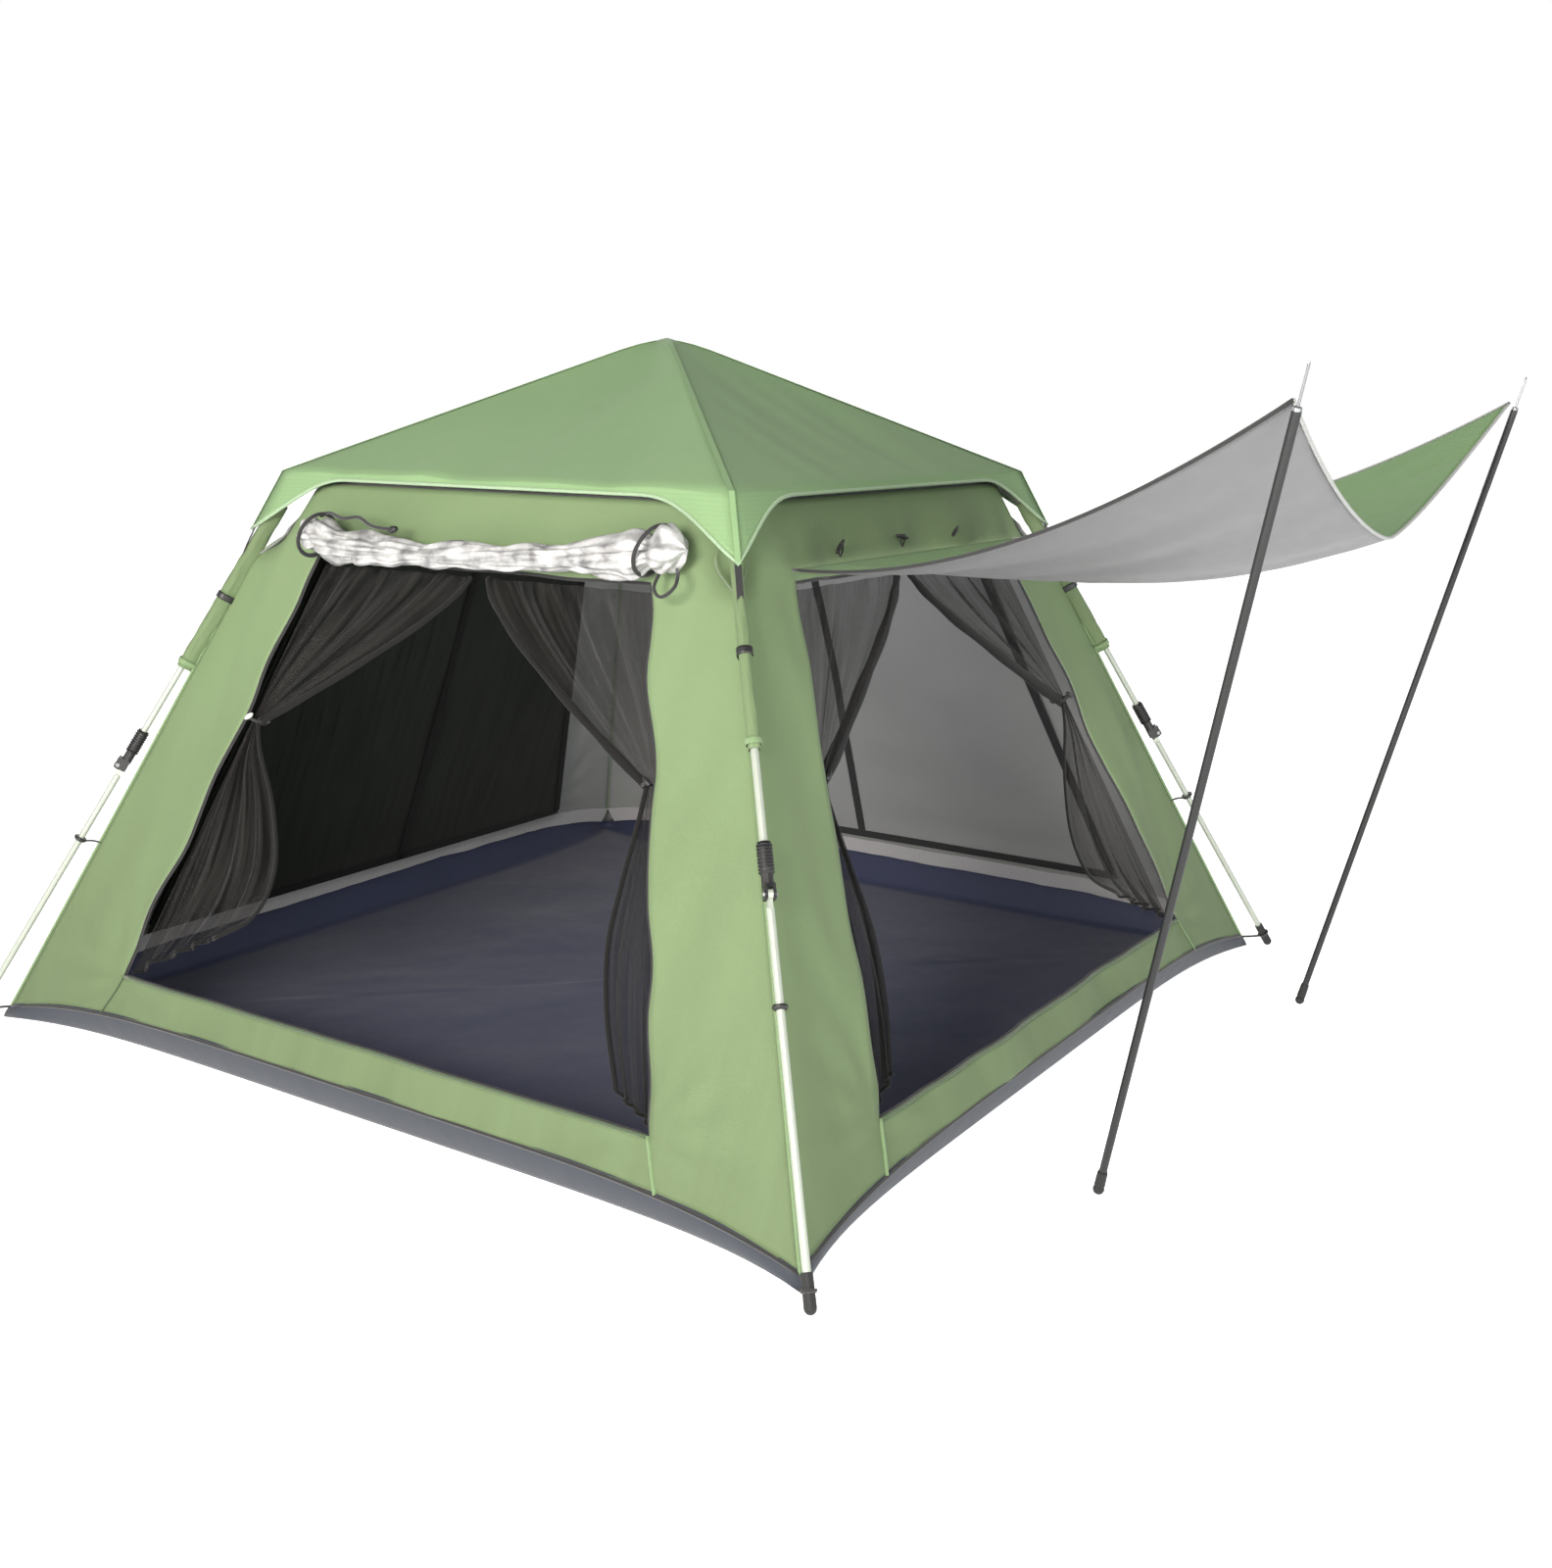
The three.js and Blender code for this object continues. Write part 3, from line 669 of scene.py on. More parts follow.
def dense(pts, step=0.03):
    """More points along a polyline."""
    out = [pts[0]]
    for a, b in zip(pts, pts[1:]):
        d = math.dist(a, b)
        k = max(1, round(d / step))
        for i in range(1, k + 1):
            t = i / k
            out.append(tuple(u + (v - u) * t for u, v in zip(a, b)))
    return out


def curve_through(points, per=10):
    """Catmull-Rom through the points."""
    p = [np.array(q, dtype=float) for q in points]
    p = [2 * p[0] - p[1]] + p + [2 * p[-1] - p[-2]]
    out = []
    for a, b, c, d in zip(p, p[1:], p[2:], p[3:]):
        slope, bend, twist = c - a, 2 * a - 5 * b + 4 * c - d, 3 * b - a - 3 * c + d
        out += [0.5 * (2 * b + slope * t + bend * t**2 + twist * t**3) for t in np.arange(per) / per]
    return out + [p[-2]]


doorway = [(-DOOR_HALF0, DOOR_Z0), (-DOOR_HALF1, DOOR_Z1), (DOOR_HALF1, DOOR_Z1), (DOOR_HALF0, DOOR_Z0)]
door_outline = dense(doorway + doorway[:1])
for side, seed in WALL_SEEDS.items():
    wall = wall_sheet(side, seed)
    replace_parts(wall, f"wall_{side}")
    # turned hem round the doorway: black tape inside it, a green piping on the sill
    hem = on_wall(side, door_outline, -0.0035)
    shell_piece(ribbon(f"door_tape_{side}", hem, wall_out(side), 0.014, CLOTH, BLACK_TAPE))
    for tag, x_sign in (("a", -1), ("b", 1)) if side in OPEN_SIDES else ():
        colour = DARK_GREEN_TAPE if (side, tag) == ("left", "a") else GREEN_TAPE
        ends = [(x_sign * 0.800, 0.172), (x_sign * 0.822, 0.125), (x_sign * 0.846, 0.078)]
        tail = on_wall(side, dense(ends, 0.01), 0.002, wavers=False)
        shell_piece(tube(f"corner_seam_{side}_{tag}", tail, 0.0042, colour, flat=0.5))
    sill_line = on_wall(side, dense([(-0.800, DOOR_Z0), (0.800, DOOR_Z0)]), 0.001, wavers=False)
    shell_piece(tube(f"sill_piping_{side}", sill_line, 0.0040, DARK_GREEN_TAPE))


LAP = 0.012  # how far a door's cloth reaches past its doorway


def panel_out(x, z):
    """How far a closed door's cloth stands off the wall's plane."""
    across = 1 - np.abs(x) / (door_half(z) + LAP)
    up = (z - DOOR_Z0 + LAP) / (DOOR_Z1 - DOOR_Z0 + 2 * LAP)
    rim = np.clip(np.minimum(across, np.minimum(up, 1 - up) * 1.6), 0, 1)
    p = xyz(x, z, 0.0)
    folds = ripple(p, 2.6, 31.0) * 0.008 + ripple(p, 9.0, 7.0) * 0.002 + 0.004
    return -0.0035 + smooth01(0, 0.14, rim) * folds


def on_panel(side, pts, lift):
    x, z = np.array(pts, dtype=float).T
    return wall_point(side, x, z, panel_out(x, z) + lift)


def on_both(side, pts, lift):
    """Points on the outer of wall cloth and door cloth, or on the inner one where lift is negative."""
    x, z = np.array(pts, dtype=float).T
    pick = np.minimum if lift < 0 else np.maximum
    return wall_point(side, x, z, pick(wall_bulge(x, z, WALL_SEEDS[side]), panel_out(x, z)) + lift)


# door panels of the two closed walls
for side in CLOSED_SIDES:
    us, z = np.linspace(-1, 1, 61), DOOR_Z0 - LAP + (DOOR_Z1 - DOOR_Z0 + 2 * LAP) * np.linspace(0, 1, 57)
    zz = np.broadcast_to(z[:, None], (57, 61))
    xx = us[None, :] * (door_half(zz) + LAP)
    uvs = np.stack([xx, zz * WALL_SLOPE / WALL_RISE], axis=-1)
    panel = grid_object(f"door_cloth_{side}", wall_point(side, xx, zz, panel_out(xx, zz)), uvs, [GREEN, LINING])
    shell_piece(solidify(panel, CLOTH, inner=1))
    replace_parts(panel, f"door_panel_{side}")
    # zip up the door's middle and round its edge, inside and outside
    tapes = []
    middle = dense([(0.06, 0.17), (0.03, 1.168)])
    for out_by, width in ((-0.0035, 0.026), (0.0022, 0.010)):
        for path in (on_both(side, door_outline, 1.4 * out_by), on_panel(side, middle, out_by)):
            tapes.append(ribbon("zip", path, wall_out(side), width, TAPE, BLACK_TAPE))
    shell_piece(merge(f"zip_tape_{side}", tapes))

# --- the roof ---


def fly_point(m, hem, share):
    corner = np.clip((np.abs(share) - 0.66) / 0.34, 0, 1) ** 2.2
    drop = hem * (FLY_HEM + (FLY_TAB - FLY_HEM) * corner)
    x = m * FLY_HALF + 0.38 * drop
    y = share * (m * FLY_HALF + 0.38 * drop * corner)
    sag = 0.014 * np.sin(np.pi * np.clip(m, 0, 1)) * (1 - share**2)
    z = APEX_Z - (APEX_Z - FLY_Z) * m - 0.925 * drop - sag * (1 - hem)
    z = z - 0.010 * np.exp(-((m / 0.06) ** 2))
    return xyz(x, y, z)


def square_sheet(name, place, spokes, materials):
    """One continuous sheet over a square plan: rings of place(side, shares) round four sides."""
    shares = np.linspace(-1, 1, spokes + 1)[:-1]
    points = np.concatenate([turned(place(k, shares), k * math.pi / 2) for k in range(4)], axis=1)
    rows, cols = points.shape[:2]
    verts = np.vstack([points[0].mean(axis=0), points[1:].reshape(-1, 3)])
    faces = [(0, 1 + c, 1 + (c + 1) % cols) for c in range(cols)]
    for r in range(rows - 2):
        for c in range(cols):
            d = (c + 1) % cols
            faces.append((1 + r * cols + c, 1 + (r + 1) * cols + c, 1 + (r + 1) * cols + d, 1 + r * cols + d))
    return new_object(name, verts, faces, verts[:, :2], materials)


FLY_RINGS = [(m, 0.0) for m in np.linspace(0, 1, 25)] + [(1.0, h) for h in (0.12, 0.3, 0.5, 0.7, 0.86, 1.0)]


def fly_place(side, shares):
    m, hem = np.array(FLY_RINGS).T[:, :, None]
    share = np.broadcast_to(shares, (len(FLY_RINGS), len(shares)))
    pts = fly_point(m, hem, share)
    p = xyz(share * m, m * 0.7, float(side) * 7)
    ridge = 1 - np.abs(share) ** 4
    radial = ripple(p * np.array([1.0, 0.25, 1.0]), 8.0, 2.0) * 0.0035 * ridge
    broad = ripple(p, 2.6, 4.0) * 0.005 * ridge
    pts[..., 2] += (radial + broad) * smooth01(0.05, 0.3, m) * (1 - 0.7 * hem)
    return pts


fly = square_sheet("roof_cloth", fly_place, 40, [ROOF_GREEN, LINING])
shell_piece(solidify(fly, CLOTH, inner=1))
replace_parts(fly, "roof_fly")

# binding along the fly's loose edge, ridge seams from the apex to the corners
edge = fly_point(np.ones(61), np.ones(61), np.linspace(-1, 1, 61))
edge_path = np.concatenate([turned(edge, k * math.pi / 2)[:-1] for k in range(4)])
binding = tube("fly_binding", edge_path, 0.0042, PALE_TAPE, sides=8, closed=True)
shell_piece(binding)
ridge = [(m, 0.0, 0.0012) for m in np.linspace(0.03, 1.0, 24)] + [(1.0, h, 0.0008) for h in np.linspace(0.15, 1.0, 6)]
ridge = np.array([fly_point(m, hem, np.array(1.0)) + (0, 0, lift) for m, hem, lift in ridge])
seams = [
    ribbon("ridge", ridge[:, [0, 0, 2]] * (ux, uy, 1), (ux * 0.35, uy * 0.35, 1), 0.012, CLOTH, ROOF_GREEN)
    for ux, uy in CORNERS.values()
]
shell_piece(merge("fly_ridge_seams", seams))


def liner_place(side, shares):
    m = np.linspace(0, 1, 15)[:, None]
    z = LINER_APEX_Z - (LINER_APEX_Z - LINER_EAVE_Z) * m - 0.03 * np.sin(np.pi * m) * (1 - shares**2)
    return xyz(m * LINER_HALF, shares * m * LINER_HALF, z)


liner = square_sheet("roof_lining", liner_place, 24, [LINING, LINING])
shell_piece(solidify(liner, 0.0010))
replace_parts(liner, "roof_liner")

# --- the floor ---


def tub_edge(share, t):
    """The groundsheet's turned-up edge at the front: t 0 on the ground line, 1 at the wall's hem."""
    x0 = share * FLOOR_HALF
    y0 = -FLOOR_HALF + FLOOR_BOW * (1 - np.abs(share) ** 6)
    z1 = hem_z(share)
    top = wall_point("front", share * half_at(z1), z1, -0.003)
    x = x0 + (top[..., 0] - x0) * t
    y = y0 + (top[..., 1] - y0) * t - np.sin(np.pi * t) * 0.006
    return xyz(x, y, 0.0015 + (z1 + 0.006 - 0.0015) * t)


def floor_place(side, shares):
    rows = []
    ground = tub_edge(shares, 0.0)
    for m in np.linspace(0, 1, 30):
        x, y, _ = (ground * m).T
        at = xyz(x, y + side * 4.0, 0.0)
        creases = np.maximum(ripple(at, 3.2, 2.0), -0.1) * 0.006 + np.maximum(ripple(at, 11.0, 5.0), 0) * 0.003
        rows.append(xyz(x, y, 0.0035 + creases * smooth01(1.0, 0.85, m)))
    # square_sheet expects the side towards +X
    pts = np.array(rows + [tub_edge(shares, t) for t in (0.15, 0.35, 0.55, 0.75, 0.9, 1.0)])
    return xyz(-pts[..., 1], pts[..., 0], pts[..., 2])


tub = solidify(square_sheet("floor_tub", floor_place, 48, [NAVY, BAND_GREY]), CLOTH)
# the outside of the turned-up edge is grey
for poly in tub.data.polygons:
    mid, normal = poly.center, poly.normal
    outward = normal.x * mid.x + normal.y * mid.y
    if normal.z < 0.5 and max(abs(mid.x), abs(mid.y)) > 1.0 and mid.z > 0.004 and outward > 0:
        poly.material_index = 1
shell_piece(tub)
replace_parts(tub, "groundsheet")

# hem piping where wall and tub meet, and the corner seams
shares = np.linspace(-1, 1, 81)
z = hem_z(shares)
hems = [tube("hem", wall_point(side, shares * half_at(z), z, 0.001), 0.0038, BLACK_TAPE) for side in TURN]
shell_piece(merge("wall_hem_piping", hems))
z = np.linspace(HEM_CORNER, 1.20, 40)
r = half_at(z) + 0.001 - 0.045 * smooth01(1.14, 1.24, z)
seams = [tube("corner", xyz(ux * r, uy * r, z), 0.0036, GREEN_TAPE) for ux, uy in CORNERS.values()]
shell_piece(merge("corner_seams", seams))

# --- curtains ---

BAND_RADIUS = {"front": 0.020, "left": 0.011}  # the gathered free edge
BAND_INSET = {"front": 0.004, "left": 0.002}
# half doorways as (lateral, height): the tie, the free edge above it, and below it with a wide or a slim hem
TIE = (0.603, 0.790)
FREE_UPPER = [(0.030, 1.158), (0.100, 1.060), (0.220, 0.972), (0.366, 0.893), (0.500, 0.826), (0.590, 0.786)]
FREE_WIDE = [(0.590, 0.786), (0.556, 0.722), (0.468, 0.612), (0.408, 0.480), (0.438, 0.372), (0.560, 0.300)]
FREE_SLIM = [(0.590, 0.786), (0.592, 0.710), (0.588, 0.600), (0.590, 0.480), (0.625, 0.360), (0.690, 0.230)]


def curtain(side, tag, sign, seed, lower, area):
    """Half of the doorway's mesh, drawn to the jamb and tied there."""
    free, low = np.array(curve_through(FREE_UPPER, 8)), np.array(curve_through(lower, 8))
    heights = np.append(
        np.linspace(DOOR_Z1 - 0.006, TIE[1], len(free)), np.linspace(TIE[1], DOOR_Z0 + 0.012, len(low))[1:]
    )
    jamb = np.stack([door_half(heights) - 0.004, heights], axis=-1)
    edge = np.vstack([free, low[1:]])
    us, head_x, head_z = np.linspace(0, 1, 85), 0.496, 1.158
    rows, uv = [], []
    for i, (j, f) in enumerate(zip(jamb, edge)):
        v = i / (len(edge) - 1)
        line = j + (f - j) * us[:, None]
        if i < len(free):
            # the top row lies along the doorway's head
            t = i / (len(free) - 1)
            head = np.stack([head_x + (FREE_UPPER[0][0] - head_x) * us, np.full_like(us, head_z)], axis=-1)
            w = (1 - t) ** 1.5
            line = line * (1 - w) + head * w
            slack = 0.35 + 0.65 * math.sin(math.pi * min(1.0, t * 1.15))
        else:
            slack = 0.45 + 0.55 * (i - len(free) + 1) / (len(low) - 1)
        # folds fan out from the tie: uneven, a few deep ones among shallow ones
        warp = us + 0.05 * np.sin(5.1 * us + seed) + 0.03 * np.sin(9.7 * us + 2.3 * seed + 1.2 * v)
        broad = np.sin(2 * np.pi * 3.4 * warp + seed + 0.5 * math.sin(2.5 * v))
        small = np.sin(2 * np.pi * 8.3 * warp + 1.9 * seed + 1.5 * v) * (0.5 + 0.5 * np.sin(6 * us + seed))
        loose = ripple(xyz(us * 5.0, v * 1.3, seed), 1.6, seed)
        wide = min(1.0, float(np.linalg.norm(f - j)) / 0.16)
        rim = np.minimum(1.0, us * 10)
        out = -0.026 + rim * slack * (0.35 + 0.65 * wide) * (0.011 * broad + 0.004 * small + 0.008 * loose)
        rows.append(wall_point(side, sign * line[:, 0], line[:, 1], np.minimum(out, -0.006)))
        uv.append(np.stack([us * 0.62, np.full_like(us, v * 1.05)], axis=-1))
    points = np.array(rows)
    cloth = solidify(grid_object(f"curtain_mesh_{side}_{tag}", points, np.array(uv), [MESH]), NET)
    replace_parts(shell_piece(cloth), f"curtain_{side}_{tag}")
    # free edge: a gathered, bound band down to the tie, a thin binding below it
    face = wall_out(side)
    band, loose_edge = points[: len(free), -1] - face * BAND_INSET[side], points[len(free) - 1 :, -1]
    ring = [
        (sign * (TIE[0] - 0.004 + 0.020 * math.cos(a)), TIE[1] + 0.004 * math.sin(2 * a), -0.034 + 0.026 * math.sin(a))
        for a in circle(24)
    ]
    uneven = lambda s: 0.6 + 0.4 * s + 0.08 * math.sin(31 * s)
    trims = [
        tube("edge", band, BAND_RADIUS[side], BLACK_MESH_BAND, sides=12, flat=0.35, up=face, taper=uneven),
        tube("edge_low", loose_edge, 0.0062, BLACK_MESH_BAND, sides=8, flat=0.5, up=face),
        tube("foot", points[-1], 0.0040, BLACK_MESH_BAND),
        tube("tie", wall_line(side, ring), 0.0035, BLACK_TAPE, closed=True),
    ]
    shell_piece(merge(f"curtain_trim_{side}_{tag}", trims))
    ts = np.linspace(0, 1, 8)
    path = wall_point(side, sign * (TIE[0] - 0.012 + 0.02 * ts), TIE[1] + 0.010 - 0.014 * ts, -0.004)
    material = TOGGLE_PALE if (side, tag) == ("left", "a") else NYLON
    shell_piece(tube(f"toggle_{side}_{tag}", path, 0.0062, material, sides=10, taper=spindle(0.55)))


# square metres: the half with the loose hem, and the slim half
WIDE, SLIM = (FREE_WIDE, 0.38), (FREE_SLIM, 0.31)
curtain("front", "a", -1, 1.0, *SLIM)
curtain("front", "b", 1, 3.3, *WIDE)
curtain("left", "a", -1, 2.0, *WIDE)
curtain("left", "b", 1, 4.3, *SLIM)

# closed mesh door inside the back wall's cloth door
us, vs = np.linspace(-1, 1, 49), np.linspace(0, 1, 41)
zz = np.broadcast_to((DOOR_Z0 - 0.02 + (DOOR_Z1 - DOOR_Z0 + 0.03) * vs)[:, None], (41, 49))
xx = us[None, :] * (door_half(zz) + 0.02)
rim = np.minimum(1 - np.abs(us)[None, :], np.minimum(vs, 1 - vs)[:, None] * 1.6)
out = -0.026 + smooth01(0, 0.14, rim) * (ripple(xyz(xx, zz, 0.0), 3.0, 41.0) * 0.005 - 0.004)
inner_mesh = grid_object(
    "door_mesh_back", wall_point("back", xx, zz, out), np.stack([xx, zz], axis=-1), [MESH_DARK]
)
shell_piece(solidify(inner_mesh, NET))
tapes = [
    ribbon("mesh_zip", wall_line("back", [(x, z, -0.037) for x, z in line]), wall_out("back"), 0.024, TAPE, ZIP_BLACK)
    for line in (dense([(-0.072, 0.165), (-0.055, 1.160)]), door_outline)
]
shell_piece(merge("door_mesh_zip_back", tapes))

# grey strip inside, along the foot of each wall
strips = []
for side in TURN:
    line = [(half_at(0.09) * t, hem_z(t) + 0.034) for t in np.linspace(-0.985, 0.985, 61)]
    strips.append(ribbon("strip", on_wall(side, line, -0.011), wall_out(side), 0.054, TAPE, STRIP_GREY))
shell_piece(merge("inner_foot_strip", strips))

# --- rolled door, left ---


def door_roll():
    """The rolled-up door: a sagging, lumpy sausage, pinched where the loops hold it."""
    around = circle(56)
    rows = []
    start, end = -0.505, 0.605
    pinches = (-0.455, 0.525)
    for x in np.linspace(start, end, 150):
        t = (x - start) / (end - start)
        body = 0.026 + 0.023 * abs(2 * t - 1) ** 1.8
        closing = min(1.0, (t * 26) ** 0.5, ((1 - t) * 26) ** 0.5)
        pinch = sum(0.30 * math.exp(-(((x - q) / 0.014) ** 2)) for q in pinches)
        swell = sum(0.16 * math.exp(-(((abs(x - q) - 0.045) / 0.03) ** 2)) for q in pinches)
        centre_z = 1.212 - 0.032 * (1 - (2 * t - 1) ** 2) + 0.016 * (2 * t - 1)
        centre_out = 0.052 + 0.004 * math.sin(9 * x)
        p = xyz(x, np.cos(around) * 0.06, np.sin(around) * 0.06)
        lump = ripple(p, 11.0, 3.0) * 0.26 + ripple(p * (0.5, 1.9, 1.9), 22.0, 8.0) * 0.17
        crease = -0.32 * (1 - np.abs(ripple(p * (0.45, 1.5, 1.5), 17.0, 15.0))) ** 3
        spiral = 0.05 * np.sin(3 * around + 9 * x)
        radius = body * closing * (1 - pinch + swell) * (1.05 + lump + crease + spiral)
        z, out = centre_z + np.sin(around) * radius * 0.95, centre_out + np.cos(around) * radius * 0.9
        rows.append(wall_point("left", x + 0.006 * ripple(p, 20.0, 23.0), z, out))
    points = np.array(rows)
    n, cols = points.shape[:2]
    verts = np.vstack([points.reshape(-1, 3), points[0].mean(axis=0), points[-1].mean(axis=0)])
    faces = []
    for c in range(cols):
        d = (c + 1) % cols
        faces += [(r * cols + c, r * cols + d, (r + 1) * cols + d, (r + 1) * cols + c) for r in range(n - 1)]
        faces += [(n * cols, d, c), (n * cols + 1, (n - 1) * cols + c, (n - 1) * cols + d)]
    return new_object("door_roll_left", verts, faces, None, [SILVER])


roll = door_roll()
shell_piece(roll)
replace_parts(roll, "door_roll")


def loop_round_roll(x, z, big, lean):
    ring = [
        (x + lean * math.sin(a), z + big * math.sin(a), 0.052 + (big + 0.002) * math.cos(a) * 0.98) for a in circle(40)
    ]
    return tube("loop", wall_line("left", ring), 0.0056, BLACK_TAPE, sides=8, closed=True, flat=0.8)


hang = [(0.560, 1.205, 0.012), (0.600, 1.180, 0.050), (0.607, 1.150, 0.062)]
hang += [(0.575, 1.132, 0.055), (0.548, 1.150, 0.050), (0.540, 1.190, 0.030)]
cord = [(-0.470, 1.246, 0.050), (-0.425, 1.250, 0.066), (-0.360, 1.236, 0.080)]
cord += [(-0.310, 1.240, 0.080), (-0.255, 1.222, 0.084), (-0.190, 1.218, 0.082)]
hang_line, cord_line = (curve_through(wall_line("left", pts), 8) for pts in (hang, cord))
stop_path = [Vector(cord_line[-1]) + Vector((0, d, -0.3 * d)) for d in np.linspace(-0.012, 0.012, 8)]
loops = [
    loop_round_roll(-0.465, 1.203, 0.046, 0.020),
    loop_round_roll(0.525, 1.222, 0.048, 0.022),
    tube("hang", hang_line, 0.0040, BLACK_TAPE),
    tube("cord_line", cord_line, 0.0042, BLACK_TAPE),
    tube("cord_stop", stop_path, 0.0085, NYLON, sides=10, taper=spindle(0.6)),
]
shell_piece(merge("roll_loops", loops))

# toggles and loops on the front doorway's head
LOW_END, LOOP_SIDE = (0, -0.020, 0.002), (0.010, -0.006, 0.008)
TOGGLE_LOOP = [LOW_END, (-0.010, -0.006, 0.008), (0, 0.004, 0.016), LOOP_SIDE, LOW_END]
toggles = []
for x, z, lean in ((-0.30, 1.226, 0.012), (-0.02, 1.230, -0.004), (0.24, 1.228, 0.010)):
    line = wall_line("front", [(x + d, z + lean * d / 0.022, 0.010) for d in np.linspace(-0.022, 0.022, 10)])
    toggles.append(tube("toggle", line, 0.0058, NYLON, sides=8, taper=spindle(0.55)))
    loop = [(x + a, z + b, out) for a, b, out in TOGGLE_LOOP]
    toggles.append(tube("loop", curve_through(wall_line("front", loop), 6), 0.0022, BLACK_TAPE))
shell_piece(merge("header_toggles", toggles))

# --- awning ---


def awning_point(u, v):
    half = AWN_TOP_HALF + (AWN_TIP_X - 0.016 - AWN_TOP_HALF) * v
    edge = AWN_TOP_Z + (AWN_TIP_Z - AWN_TOP_Z) * v - AWN_EDGE_SAG * 4 * v * (1 - v)
    dip = AWN_MID_SAG * v**1.1 * (1 - np.abs(u) ** 1.4)
    tip = AWN_TIP_Y + 0.014 + 0.040 * (1 - u * u) * v
    y = AWN_TOP_Y + (tip - AWN_TOP_Y) * v
    return xyz(u * half, y, edge - dip)


uu, vv = np.meshgrid(np.linspace(-1, 1, 73), np.linspace(0, 1, 61))
points = awning_point(uu, vv)
calm = smooth01(0, 0.08, vv) * smooth01(0, 0.06, 1 - np.abs(uu))
folds = ripple(xyz(uu * 2.0, vv * 0.5, 0.0), 3.2, 12.0) * 0.006 + ripple(xyz(uu, vv, 0.0), 9.0, 14.0) * 0.002
points[..., 2] += calm * folds + 0.0015
uvs = np.stack([uu * 0.75, vv * 1.2], axis=-1)
awning = solidify(grid_object("awning_cloth", points, uvs, [AWNING_GREY, AWNING_GREEN]), CLOTH, inner=1)
ride(awning, "awning")
fold_down(awning)
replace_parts(awning, "awning")


def awning_edge(name, us, vs, radius, material):
    return tube(name, awning_point(us, vs) + (0, 0, 0.001), radius, material)


along, ones = np.linspace(0, 1, 50), np.ones(50)
trim = [
    awning_edge("side_a", -ones, along, 0.0042, BLACK_TAPE),
    awning_edge("side_b", ones, along, 0.0042, GREY_TAPE),
    awning_edge("front", np.linspace(-1, 1, 50), ones, 0.0036, GREY_TAPE),
]
binding = ride(merge("awning_binding", trim), "awning")
fold_down(binding)

# --- leg trim ---


def leg_frame(tag):
    along = (leg_point(tag, 1.0) - leg_point(tag, 0.0)).normalized()
    out = (leg_point(tag, 0.5, 1.0) - leg_point(tag, 0.5)).normalized()
    return along, out, along.cross(out).normalized()


AROUND = circle(28)


def sleeve_ring(centre, out, side, radius_at, narrow=1.0):
    """Round on the outside, drawn out to a seam on the side towards the tent."""
    ring = []
    for a in AROUND:
        r, o = radius_at(a), math.cos(a)
        stretch = 1.0 if o > 0 else 1.0 + 0.9 * o**2
        ring.append(tuple(centre + out * (r * o * stretch) + side * (r * narrow * math.sin(a))))
    return ring


def sleeve(tag, out, side, start, end):
    """Cloth sleeve round the upper leg, open at the bottom."""
    rows, shares = [], np.linspace(start, end, 40)
    for s in shares:
        puckered = lambda a: 0.0125 + 0.0022 * noise.noise(Vector((s * 40, math.cos(a) * 2, math.sin(a) * 2)))
        rows.append(sleeve_ring(leg_point(tag, s), out, side, puckered, 0.98))
    uv = [[(a * 0.0125, s * 1.58) for a in AROUND] for s in shares]
    obj = grid_object(f"leg_sleeve_{tag}", np.array(rows), np.array(uv), [GREEN], wrap=True)
    return solidify(obj, 0.0010)


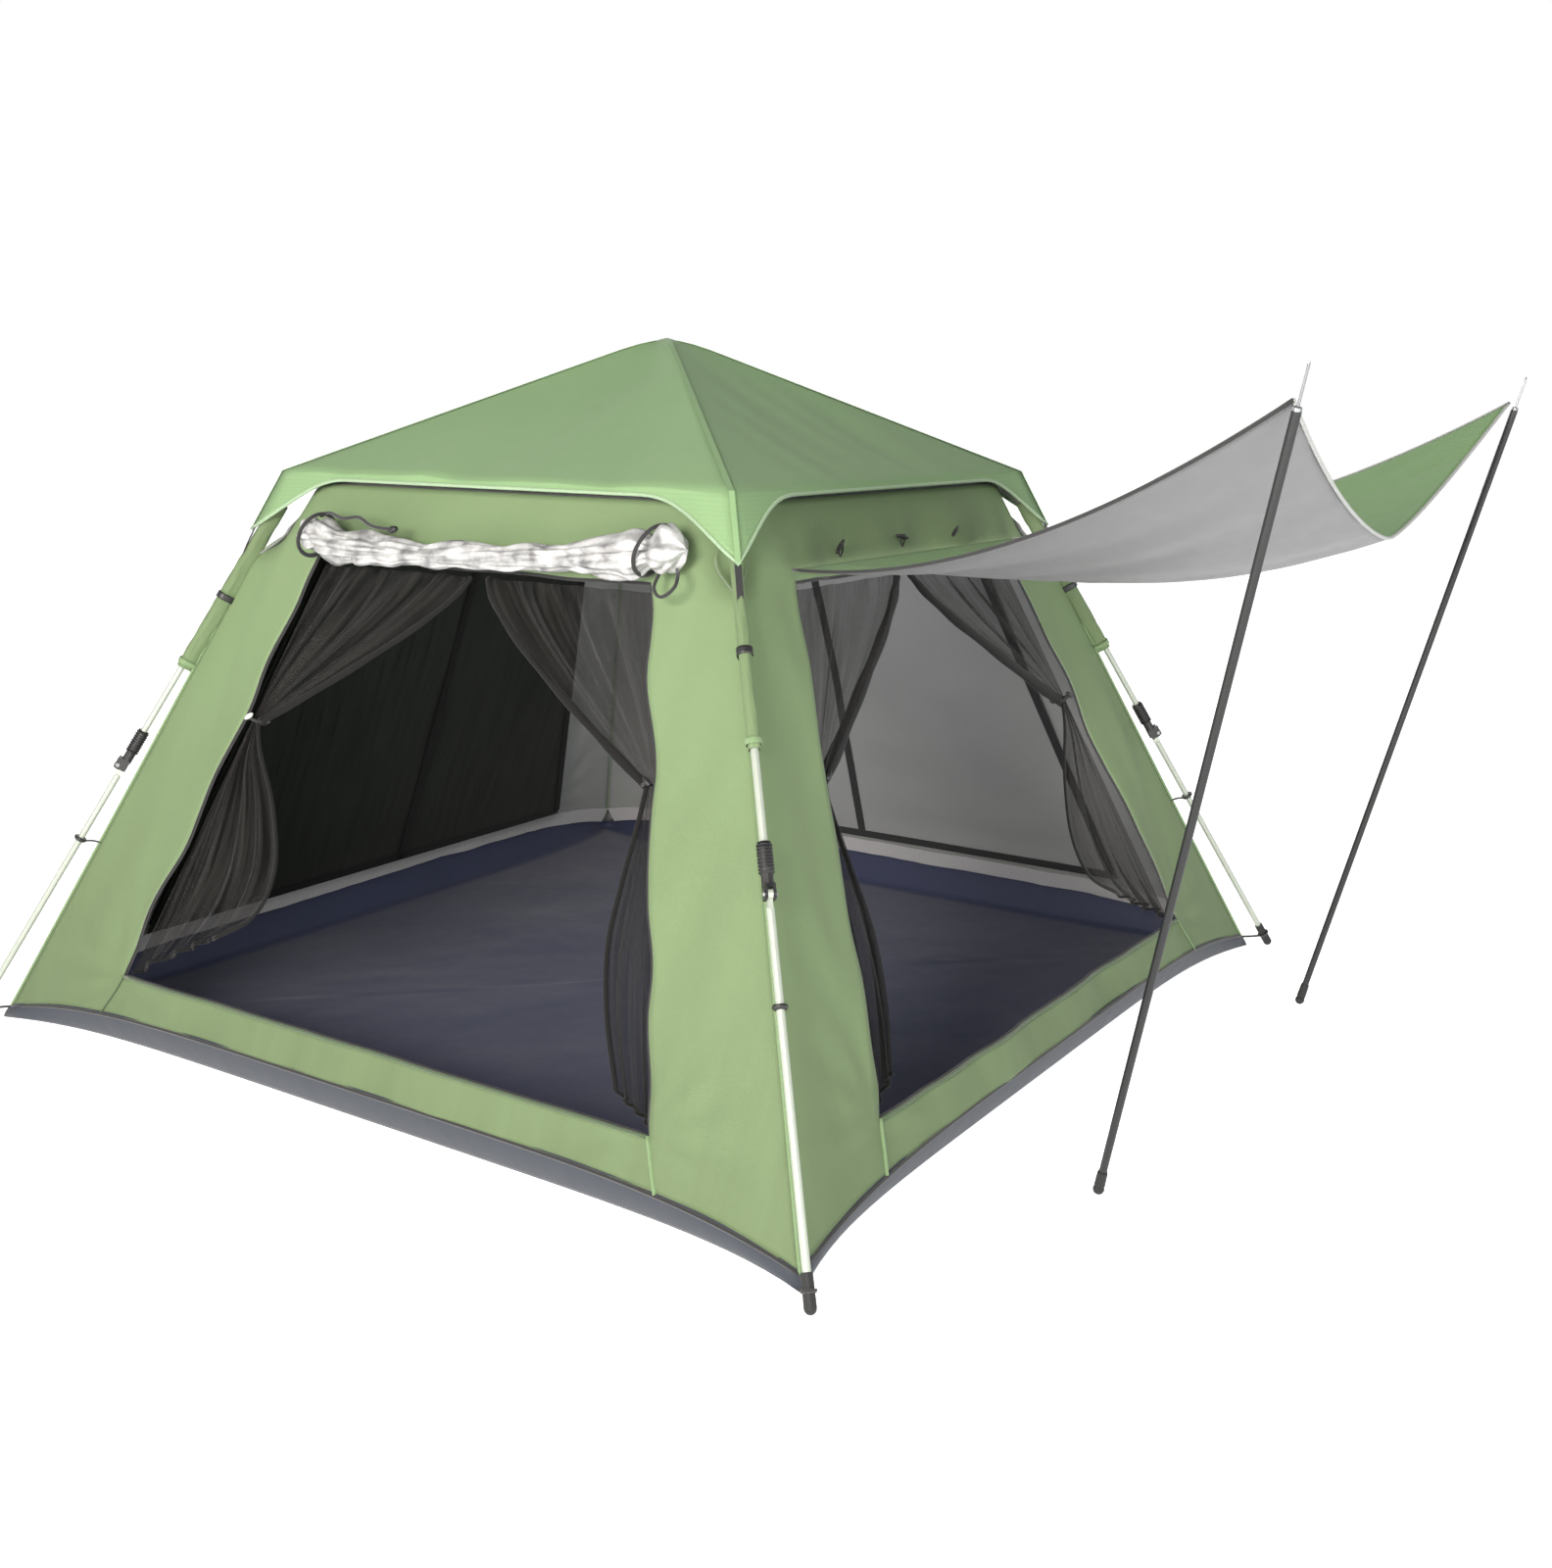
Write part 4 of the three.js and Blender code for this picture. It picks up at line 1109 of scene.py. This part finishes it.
for tag, (ux, uy) in CORNERS.items():
    along, out, side = leg_frame(tag)
    upper, lower = f"upper_leg_{tag}", f"lower_leg_{tag}"

    def ring_about(centre, radius):
        return [centre + out * radius * math.cos(a) + side * radius * math.sin(a) for a in circle(24)]

    def cloth_corner(z, out_by):
        """A point on the line where two walls meet."""
        r = half_at(z) + out_by
        return Vector((ux * r, uy * r, z))

    cover = ride(sleeve(tag, out, side, 0.045, 0.345), upper)
    # black band round the sleeve, green one at its open end
    bands = []
    for share, width, material in ((0.215, 0.016, NYLON), (0.335, 0.012, GREEN_TAPE)):
        centres = [leg_point(tag, share) + along * d for d in np.linspace(-width / 2, width / 2, 5)]
        rings = np.array([sleeve_ring(centre, out, side, lambda a: 0.0160) for centre in centres])
        bands.append(solidify(grid_object("band", rings, np.zeros((5, 28, 2)), [material], wrap=True), 0.0016))
    ride(merge(f"leg_band_{tag}", bands), upper)
    # ribbed grip over the knee
    ribs = []
    for k in range(9):
        ring = ring_about(leg_point(tag, KNEE_SHARE - 0.0285 - 0.0042 * k), 0.0143)
        ribs.append(tube("rib", ring, 0.0017, NYLON, closed=True))
    barrel = [leg_point(tag, s) for s in np.linspace(KNEE_SHARE - 0.066, KNEE_SHARE - 0.0265, 6)]
    ribs.append(tube("barrel", barrel, 0.0134, NYLON, sides=20))
    ride(merge(f"knee_ribs_{tag}", ribs), upper)
    # hook that holds the wall's corner to the lower leg
    leg = leg_point(tag, 0.665)
    cloth = cloth_corner(leg.z - 0.012, -0.002)
    clip = tube(f"leg_clip_{tag}", ring_about(leg, 0.0118), 0.0036, NYLON, sides=8, closed=True, flat=1.5)
    ride(clip, lower)
    reach = curve_through([leg - out * 0.012, leg.lerp(cloth, 0.55), cloth], 8)
    shell_piece(tube(f"corner_hook_{tag}", reach, 0.0042, NYLON, sides=8, flat=0.6))
    # tape that ties the floor's corner to the foot
    foot = leg_point(tag, 0.982)
    corner = cloth_corner(0.030, -0.004)
    ring = ring_about(foot, 0.0136)
    ride(tube(f"foot_ring_{tag}", ring, 0.0022, BLACK_TAPE, closed=True, flat=1.8), lower)
    reach = [foot - out * 0.013, foot.lerp(corner, 0.5) - Vector((0, 0, 0.004)), corner]
    shell_piece(tube(f"foot_tie_{tag}", curve_through(reach, 8), 0.0030, BLACK_TAPE))
    # strap from the fly's tab down over the shoulder
    top_at, low_at = Vector((ux * 0.717, uy * 0.717, 1.232)), cloth_corner(1.100, 0.012)
    face = Vector((ux, uy, 0.6)).normalized()
    path = curve_through([top_at, top_at.lerp(low_at, 0.5) + face * 0.004, low_at], 10)
    strap = ribbon("strap", path, face, 0.014, 0.003, BLACK_TAPE)
    path = [low_at + face * 0.004 + Vector((0, 0, d)) for d in np.linspace(-0.014, 0.016, 8)]
    buckle = tube("buckle", path, 0.0062, NYLON, sides=10, flat=0.6, taper=spindle(0.6))
    shell_piece(merge(f"fly_strap_{tag}", [strap, buckle]))

# --- materials on CAD nodes ---

# the first match counts, so the pole's own name comes after its tip's and sleeve's
CAD_LOOKS = [
    (ALLOY, ("roof_pole", "upper_leg", "lower_leg")),
    (NYLON, ("shoulder_fork", "knee_fork", "hub")),
    (RUBBER, ("foot", "awning_pole_tip", "awning_pole_sleeve")),
    (STEEL, ("shoulder_pin", "knee_pin", "awning_spike")),
    (POLE_PAINT, ("awning_pole",)),
]
for name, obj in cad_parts.items():
    for material, prefixes in CAD_LOOKS:
        if name.startswith(prefixes):
            obj.data.materials.clear()
            obj.data.materials.append(material)
            break

# --- the studio ---

OVERHEAD = 0.22  # the white world's strength straight above


def studio():
    n = Nodes("studio_floor")
    n.surface({"Base Color": (0.85, 0.85, 0.85), "Roughness": 0.9})
    n.surface({"Emission Color": (1, 1, 1), "Emission Strength": 0.85})
    size = 30.0
    corners = [(x * size, y * size, -0.0015) for x, y in ((-1, -1), (1, -1), (1, 1), (-1, 1))]
    new_object("studio_floor", corners, [(0, 1, 2, 3)], None, [n.material])
    # white all round at eye level, dimmer overhead so that the roof keeps its shape
    world = bpy.data.worlds.new("studio")
    world.use_nodes = True
    links, nodes = world.node_tree.links, world.node_tree.nodes
    background = nodes["Background"]
    background.inputs["Color"].default_value = (1, 1, 1, 1)
    direction, split, span = (nodes.new(f"ShaderNode{kind}") for kind in ("TexCoord", "SeparateXYZ", "MapRange"))
    span.interpolation_type = "SMOOTHSTEP"
    for key, value in (("From Min", 0.28), ("From Max", 0.75), ("To Min", 1.0), ("To Max", OVERHEAD)):
        span.inputs[key].default_value = value
    links.new(direction.outputs["Generated"], split.inputs["Vector"])
    links.new(split.outputs["Z"], span.inputs["Value"])
    links.new(span.outputs["Result"], background.inputs["Strength"])
    bpy.context.scene.world = world

    def area(name, at, aim, size, power, color=(1, 1, 1)):
        light = bpy.data.lights.new(name, "AREA")
        light.shape = "DISK"
        light.size = size
        light.energy = power
        light.color = color
        obj = bpy.data.objects.new(name, light)
        obj.location = at
        obj.rotation_euler = (Vector(aim) - Vector(at)).to_track_quat("-Z", "Y").to_euler()
        bpy.context.scene.collection.objects.link(obj)

    area("key", (-5.5, -1.2, 2.4), (0, 0, 0.7), 2.2, 400, (1.0, 0.95, 0.88))
    area("behind", (4.5, 4.5, 3.2), (0, 0, 0.7), 3.0, 170)
    area("inside", (-0.15, -0.15, 1.22), (0.5, 0.35, 0.1), 0.9, 6.5)
    area("fill", (-1.8, -6.5, 1.1), (0, 0, 0.8), 3.0, 110, (0.97, 1.0, 0.94))
    area("front", (-2.8, -3.4, 1.15), (-0.1, -0.75, 1.15), 1.2, 26, (0.97, 1.0, 0.94))
    bpy.context.scene.view_settings.view_transform = "Standard"


studio()
